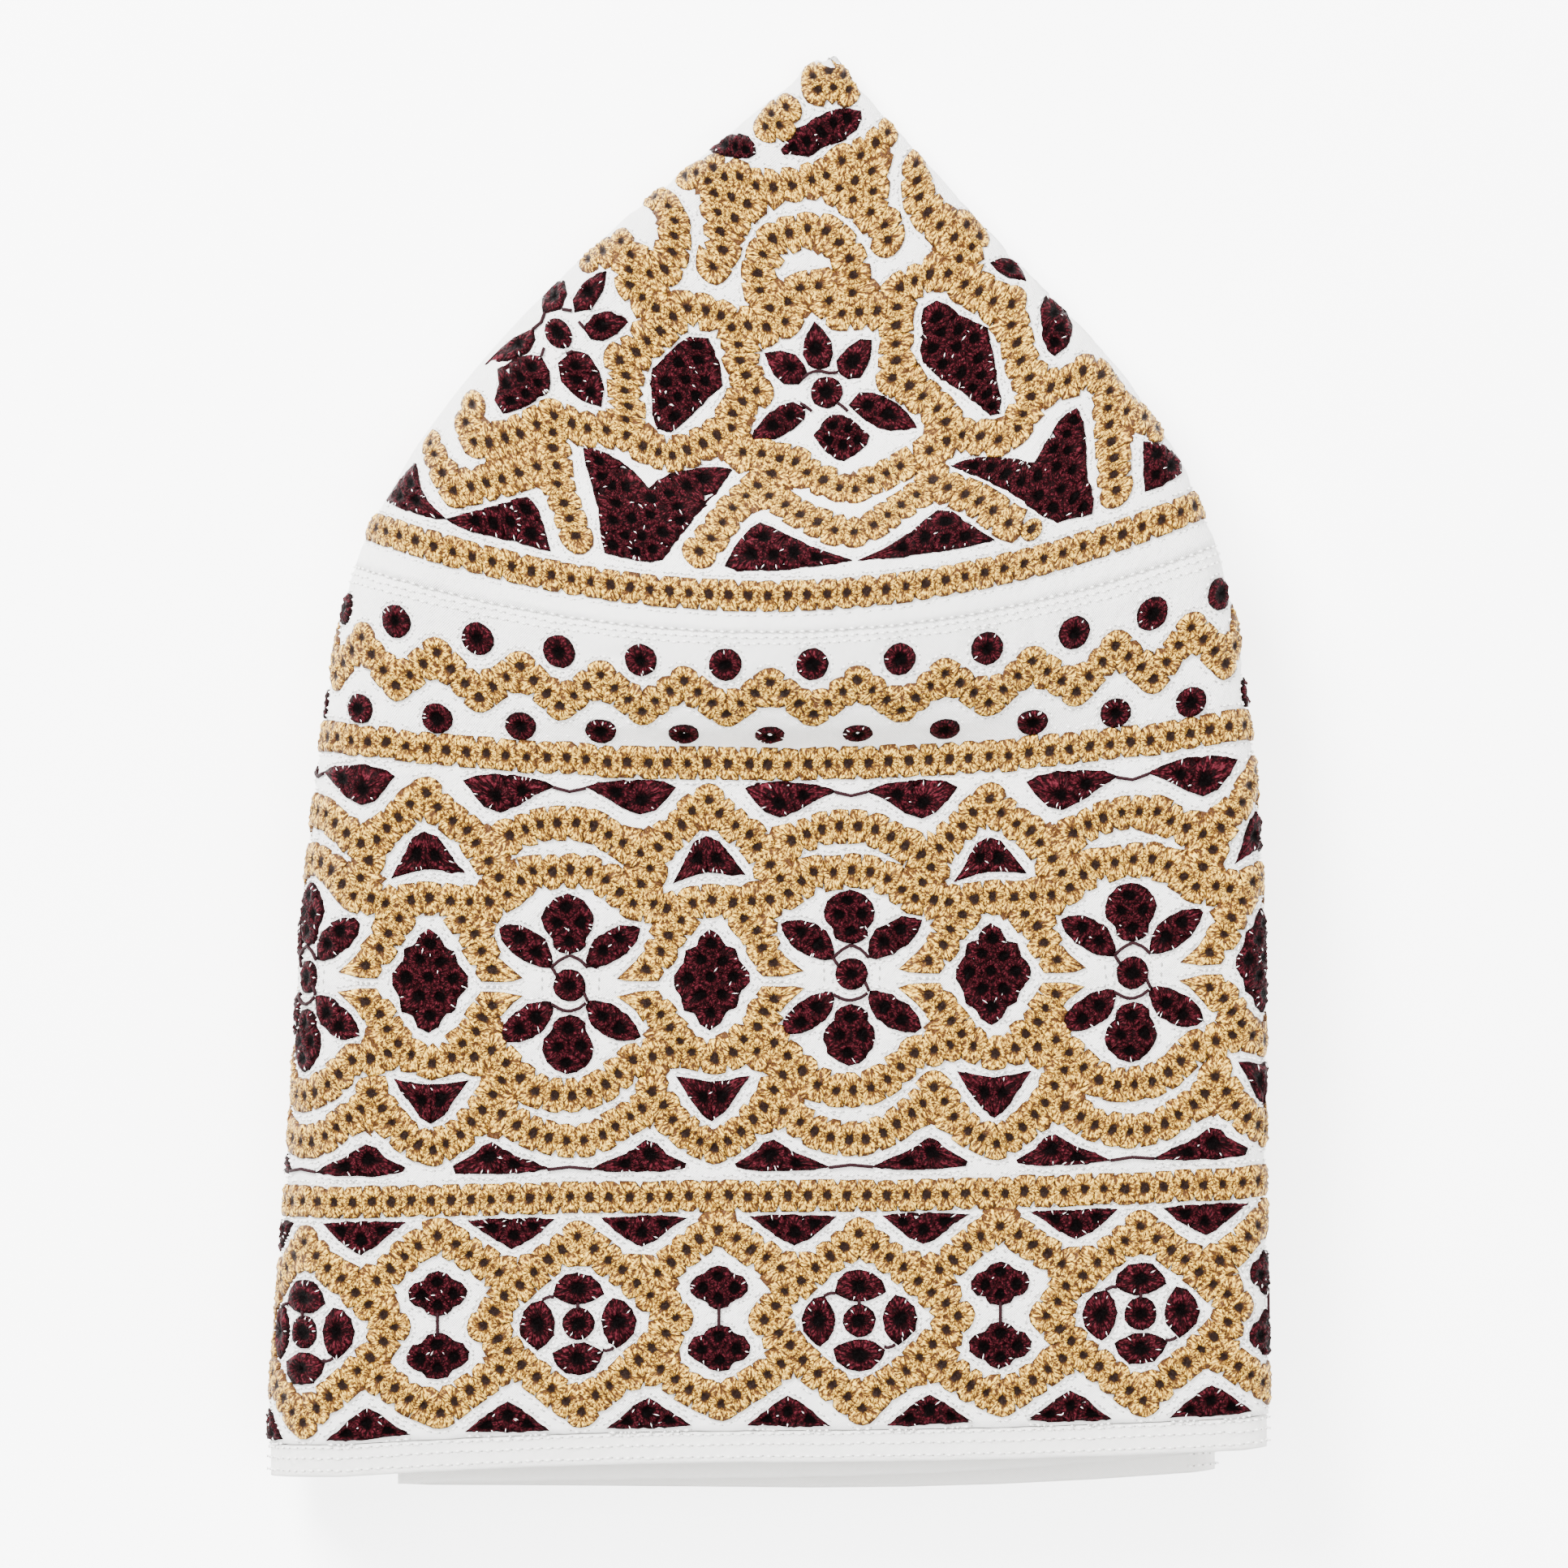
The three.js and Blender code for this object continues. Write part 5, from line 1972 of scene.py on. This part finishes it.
def attach(piece: bpy.types.Object, slot: str, *nodes: str) -> None:
    """Rides a piece on the cap and hides the nodes that it stands for."""
    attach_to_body(piece, BODY)
    if nodes:
        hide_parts(*nodes)
    LOG.info("%s: %d faces", piece.name, len(piece.data.polygons))


def outline_stitches(mesh: EyeletMesh, relief: Relief) -> Stitches:
    """Places a stitch beside every stretch of edge that borders plain cloth.

    Args:
        mesh: the eyelets with their edges found.
        relief: finds the eyelets near a place.

    Returns:
        Flat distances, heights, directions and lengths of the stitches.
    """
    found = []
    beside = 0.62
    for i in range(len(mesh.centres)):
        scale = mesh.stretch[i]
        order = np.argsort(mesh.angles[i] % (2 * math.pi))
        angles = mesh.angles[i][order]
        reach = mesh.reaches[i][order]
        free = mesh.free[i][order]
        for j in range(mesh.sides):
            q = (j + 1) % mesh.sides
            if not (free[j] and free[q]):
                continue
            a = reach[j] * np.array([math.cos(angles[j]), math.sin(angles[j])])
            b = reach[q] * np.array([math.cos(angles[q]), math.sin(angles[q])])
            along = b - a
            length = float(np.linalg.norm(along))
            if not 0.5 < length < 4.5:
                continue
            out = np.array([along[1], -along[0]]) / length
            pieces = max(1, round(length / 1.3))
            for k in range(pieces):
                spot = mesh.centres[i] + (a + along * (k + 0.5) / pieces + out * beside) / scale
                if spot[1] > mesh.cap.top - TIP_CLEARANCE:
                    continue
                _, near, far = relief.middles.find((spot[0], spot[1], 0))
                if far * scale.mean() < relief.size[near] + 0.25 and near != i:
                    continue
                turn = math.atan2(along[1], along[0])
                found.append((spot[0], spot[1], turn, length / pieces * 0.72))
    t, v, turn, length = np.array(found).T
    return t, v, turn, length


def white_glints(mesh: EyeletMesh, work: Needlework, seed: int = 8) -> Stitches:
    """Places the small bits of white cotton that show between the maroon threads.

    Args:
        mesh: the eyelets with their edges found.
        work: the cap's needlework.
        seed: starts the draws.

    Returns:
        Flat distances, heights, directions and lengths of the bits.
    """
    chance = np.random.default_rng(seed)
    found = []
    for i, eyelet in enumerate(work.eyelets):
        if eyelet.thread is not Thread.MAROON:
            continue
        likely = np.where(mesh.free[i], 0.26, 0.06)
        for j in np.nonzero(chance.random(mesh.sides) < likely)[0]:
            angle = mesh.angles[i][j] + chance.normal(0, 0.1)
            reach = mesh.reaches[i][j] * chance.uniform(0.74, 0.95)
            if reach < 1.0 or reach > 4.0:
                continue
            offset = np.array([math.cos(angle), math.sin(angle)]) * reach / mesh.stretch[i]
            spot = mesh.centres[i] + offset
            found.append((spot[0], spot[1], angle, chance.uniform(0.6, 1.15)))
    t, v, turn, length = np.array(found).T
    return t, v, turn, length


def row_stitches(cap: FoldedCap, levels: tuple[float, ...], seed: int) -> Stitches:
    """Places the stitches of straight rows round the cap.

    Args:
        cap: the folded cap.
        levels: the rows' heights.
        seed: starts their small unevenness.

    Returns:
        Flat distances, heights, directions and lengths of the stitches.
    """
    chance = np.random.default_rng(seed)
    found = []
    for level in levels:
        corners = cap.corners(np.array(level))
        low, high = float(corners[1]), float(corners[6])
        count = int((high - low) / 1.45)
        t = np.linspace(low, high, count) + chance.normal(0, 0.05, count)
        found.append(np.stack([
            t, level + chance.normal(0, 0.05, count), chance.normal(0, 0.06, count),
            np.full(count, 1.0),
        ]))
    t, v, turn, length = np.concatenate(found, 1)
    return t, v, turn, length


def needle_hole_shadows(cap: FoldedCap, t: Array, v: Array, turn: Array, length: Array) -> Array:
    """Finds where each stitch goes down into the cloth, where a small mark of painted shadow is laid.

    Args:
        cap: the folded cap.
        t: flat distances of the stitches.
        v: heights of the stitches.
        turn: the direction of each.
        length: how long each is.

    Returns:
        Flat distances and heights, in two rows.
    """
    across, up, _ = cap.frame_at(t, v)
    far = length / 2 + 0.16
    end_t = t + np.cos(turn) * far / np.linalg.norm(across, axis=-1)
    end_v = v + np.sin(turn) * far / np.linalg.norm(up, axis=-1)
    return np.stack([end_t, np.clip(end_v, 0.3, cap.top - 0.3)])


# Heights of the rows of stitches on the hem and at the crown's seam.
HEM_ROWS = (0.9, 2.7, 4.2)
SEAM_ROWS = (120.9, 121.8, 122.7)
# Each thread's painted shadow, own colour, painted highlight and the painted dark of its holes.
GOLD = ThreadFinish(
    "gold_thread", (0.056, 0.018, 0.0016), (0.385, 0.182, 0.0145), (1.0, 0.63, 0.102),
    (0.012, 0.003, 0.001), span=(0.905, 1.195),
)
MAROON = ThreadFinish(
    "maroon_thread", (0.004, 0.0003, 0.0007), (0.0185, 0.0011, 0.0024), (0.070, 0.0085, 0.0145),
    (0.001, 0.0003, 0.0004), roughness=0.55, gloss=0.04, strands=44.0,
)
# Painted shade inside the gold and the maroon holes.
GOLD_HOLE = HoleFinish("gold_hole", (0.006, 0.002, 0.001), (0.06, 0.024, 0.005))
MAROON_HOLE = HoleFinish("maroon_hole", (0.0015, 0.0004, 0.0006), (0.008, 0.0012, 0.002))
WHITE_YARN = YarnFinish("white_yarn", (0.95, 0.945, 0.92), (0.82, 0.81, 0.79))
# Grey of the painted shadow at the needle's holes and of the painted shade down the stitch columns.
SHADE = YarnFinish("needle_hole_shade", (0.36, 0.35, 0.335), (0.24, 0.235, 0.225), gloss=0.0)
MAROON_YARN = YarnFinish(
    "maroon_yarn", (0.018, 0.002, 0.004), (0.006, 0.001, 0.002), sheen=0.0, gloss=0.1
)


def level_ground(t: Array, v: Array) -> Array:
    """A relief that is level everywhere, for cloth without embroidery."""
    return np.zeros(np.shape(t))


def lay_cloth(cap: FoldedCap, shaper: Shaper, relief: Relief) -> list[bpy.types.Object]:
    """Lays the cloth, dresses it and attaches it.

    Args:
        cap: the folded cap.
        shaper: makes its meshes.
        relief: how high the embroidered cloth stands.

    Returns:
        The band, the crown and the hem's binding.
    """
    cotton = CottonFinish("white_cotton").material()
    binding = CottonFinish("binding_white", (0.87, 0.855, 0.815)).material()
    counts = (8, 14, 130, 40, 130, 14, 8, 6)
    band = ClothTube(
        cap, shaper, "band_cloth", cap.hem_height, cap.seam, 100, counts, edge_fall=0.7
    )
    crown = ClothTube(cap, shaper, "crown_cloth", cap.seam - 0.6, cap.top - 0.3, 76, counts)
    hem = ClothTube(cap, shaper, "hem_strip", 0.0, cap.hem_height - 0.2, 8, counts)
    pieces = []
    for tube, ground, finish, slot, node in (
        (band, relief, cotton, COTTON_SLOT, "side_band"),
        (crown, relief, cotton, COTTON_SLOT, "crown"),
        (hem, level_ground, binding, BINDING_SLOT, "hem_binding"),
    ):
        piece = tube.build(ground)
        dress(piece, finish)
        attach(piece, slot, node)
        pieces.append(piece)
    return pieces


def work_eyelets(mesh: EyeletMesh, work: Needlework) -> list[bpy.types.Object]:
    """Makes the gold and the maroon eyelets of both sides.

    Args:
        mesh: the eyelets with their edges found.
        work: the cap's needlework.

    Returns:
        The four pieces.
    """
    finishes = {
        Thread.GOLD: (GOLD.material(), GOLD_HOLE.material()),
        Thread.MAROON: (MAROON.material(), MAROON_HOLE.material()),
    }
    pieces = []
    for thread in Thread:
        for side in Panel:
            piece = mesh.build(work, f"{thread.value}_eyelets_{side.value}", thread, side)
            dress(piece, *finishes[thread])
            attach(piece, COTTON_SLOT)
            pieces.append(piece)
    return pieces


def sew(
    cap: FoldedCap, shaper: Shaper, mesh: EyeletMesh, work: Needlework, relief: Relief
) -> list[bpy.types.Object]:
    """Makes the stitches, the threads between the patches, and small marks of painted shadow at the
    needle's holes and down the stitch columns.

    Args:
        cap: the folded cap.
        shaper: makes its meshes.
        mesh: the eyelets with their edges found.
        work: the cap's needlework.
        relief: how high the cloth stands.

    Returns:
        The pieces.
    """
    white, maroon, shade = WHITE_YARN.material(), MAROON_YARN.material(), SHADE.material()
    sewing = Stitching(cap, shaper)
    small = Stitching(cap, shaper, width=0.3, tall=0.06)
    fine = Stitching(cap, shaper, width=0.17, tall=0.12)
    outline = outline_stitches(mesh, relief)
    seam = row_stitches(cap, SEAM_ROWS, 3)
    hem = row_stitches(cap, HEM_ROWS, 4)
    glints = white_glints(mesh, work)
    ends = np.concatenate([needle_hole_shadows(cap, *rows) for rows in (outline, seam, hem)], 1)
    column_shade_marks = np.concatenate(work.column_shade_marks, 1)
    t, v = np.concatenate([ends, column_shade_marks], 1)
    counts = [ends.shape[1], column_shade_marks.shape[1]]
    turn = np.repeat([0.0, math.pi / 2], counts)
    length = np.repeat([0.42, 0.8], counts)
    pieces = []
    for piece, finish, slot in (
        (
            sewing.lozenges("outline_stitches", *outline, relief(*outline[:2]) - 0.7),
            white, COTTON_SLOT,
        ),
        (sewing.lozenges("quilting_rows", *seam, relief(*seam[:2]) - 0.75), white, COTTON_SLOT),
        (
            sewing.lozenges("hem_stitches", *hem, np.full(len(hem[0]), -0.68)),
            white, BINDING_SLOT,
        ),
        # Grey lozenges of painted shadow at each stitch's ends, and grey dashes of painted shade down
        # the stitch columns.
        (small.lozenges("needle_hole_shadows", t, v, turn, length, relief(t, v) - 0.7), shade, COTTON_SLOT),
        (
            fine.lozenges("cotton_glints", *glints, np.full(len(glints[0]), -0.12)),
            white, COTTON_SLOT,
        ),
        (sewing.threads("maroon_links", work.links, 0.5, 0.0), maroon, COTTON_SLOT),
    ):
        dress(piece, finish)
        attach(piece, slot)
        pieces.append(piece)
    return pieces


def main() -> None:
    """Builds the cap's cloth and its embroidery in order."""
    logging.basicConfig(level=logging.INFO, format="%(name)s: %(message)s")
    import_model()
    cad_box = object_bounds()
    deselect()
    cap = FoldedCap()
    high = max(corner[1] for corner in cad_box)
    shaper = Shaper(cap, high / MM - cap.top)
    studio()

    work = Needlework(cap)
    work.work_rows()
    work.work_main_zone()
    work.work_lower_zone()
    work.work_crown()
    LOG.info("%d eyelets in %d patches", len(work.eyelets), len(work.outlines))
    mesh = EyeletMesh(cap, shaper)
    mesh.radii(work)
    relief = Relief(mesh)

    band, crown, hem = lay_cloth(cap, shaper, relief)
    extras = work_eyelets(mesh, work)
    extras += sew(cap, shaper, mesh, work, relief)
    LOG.info("done")


if __name__ == "__main__":
    main()
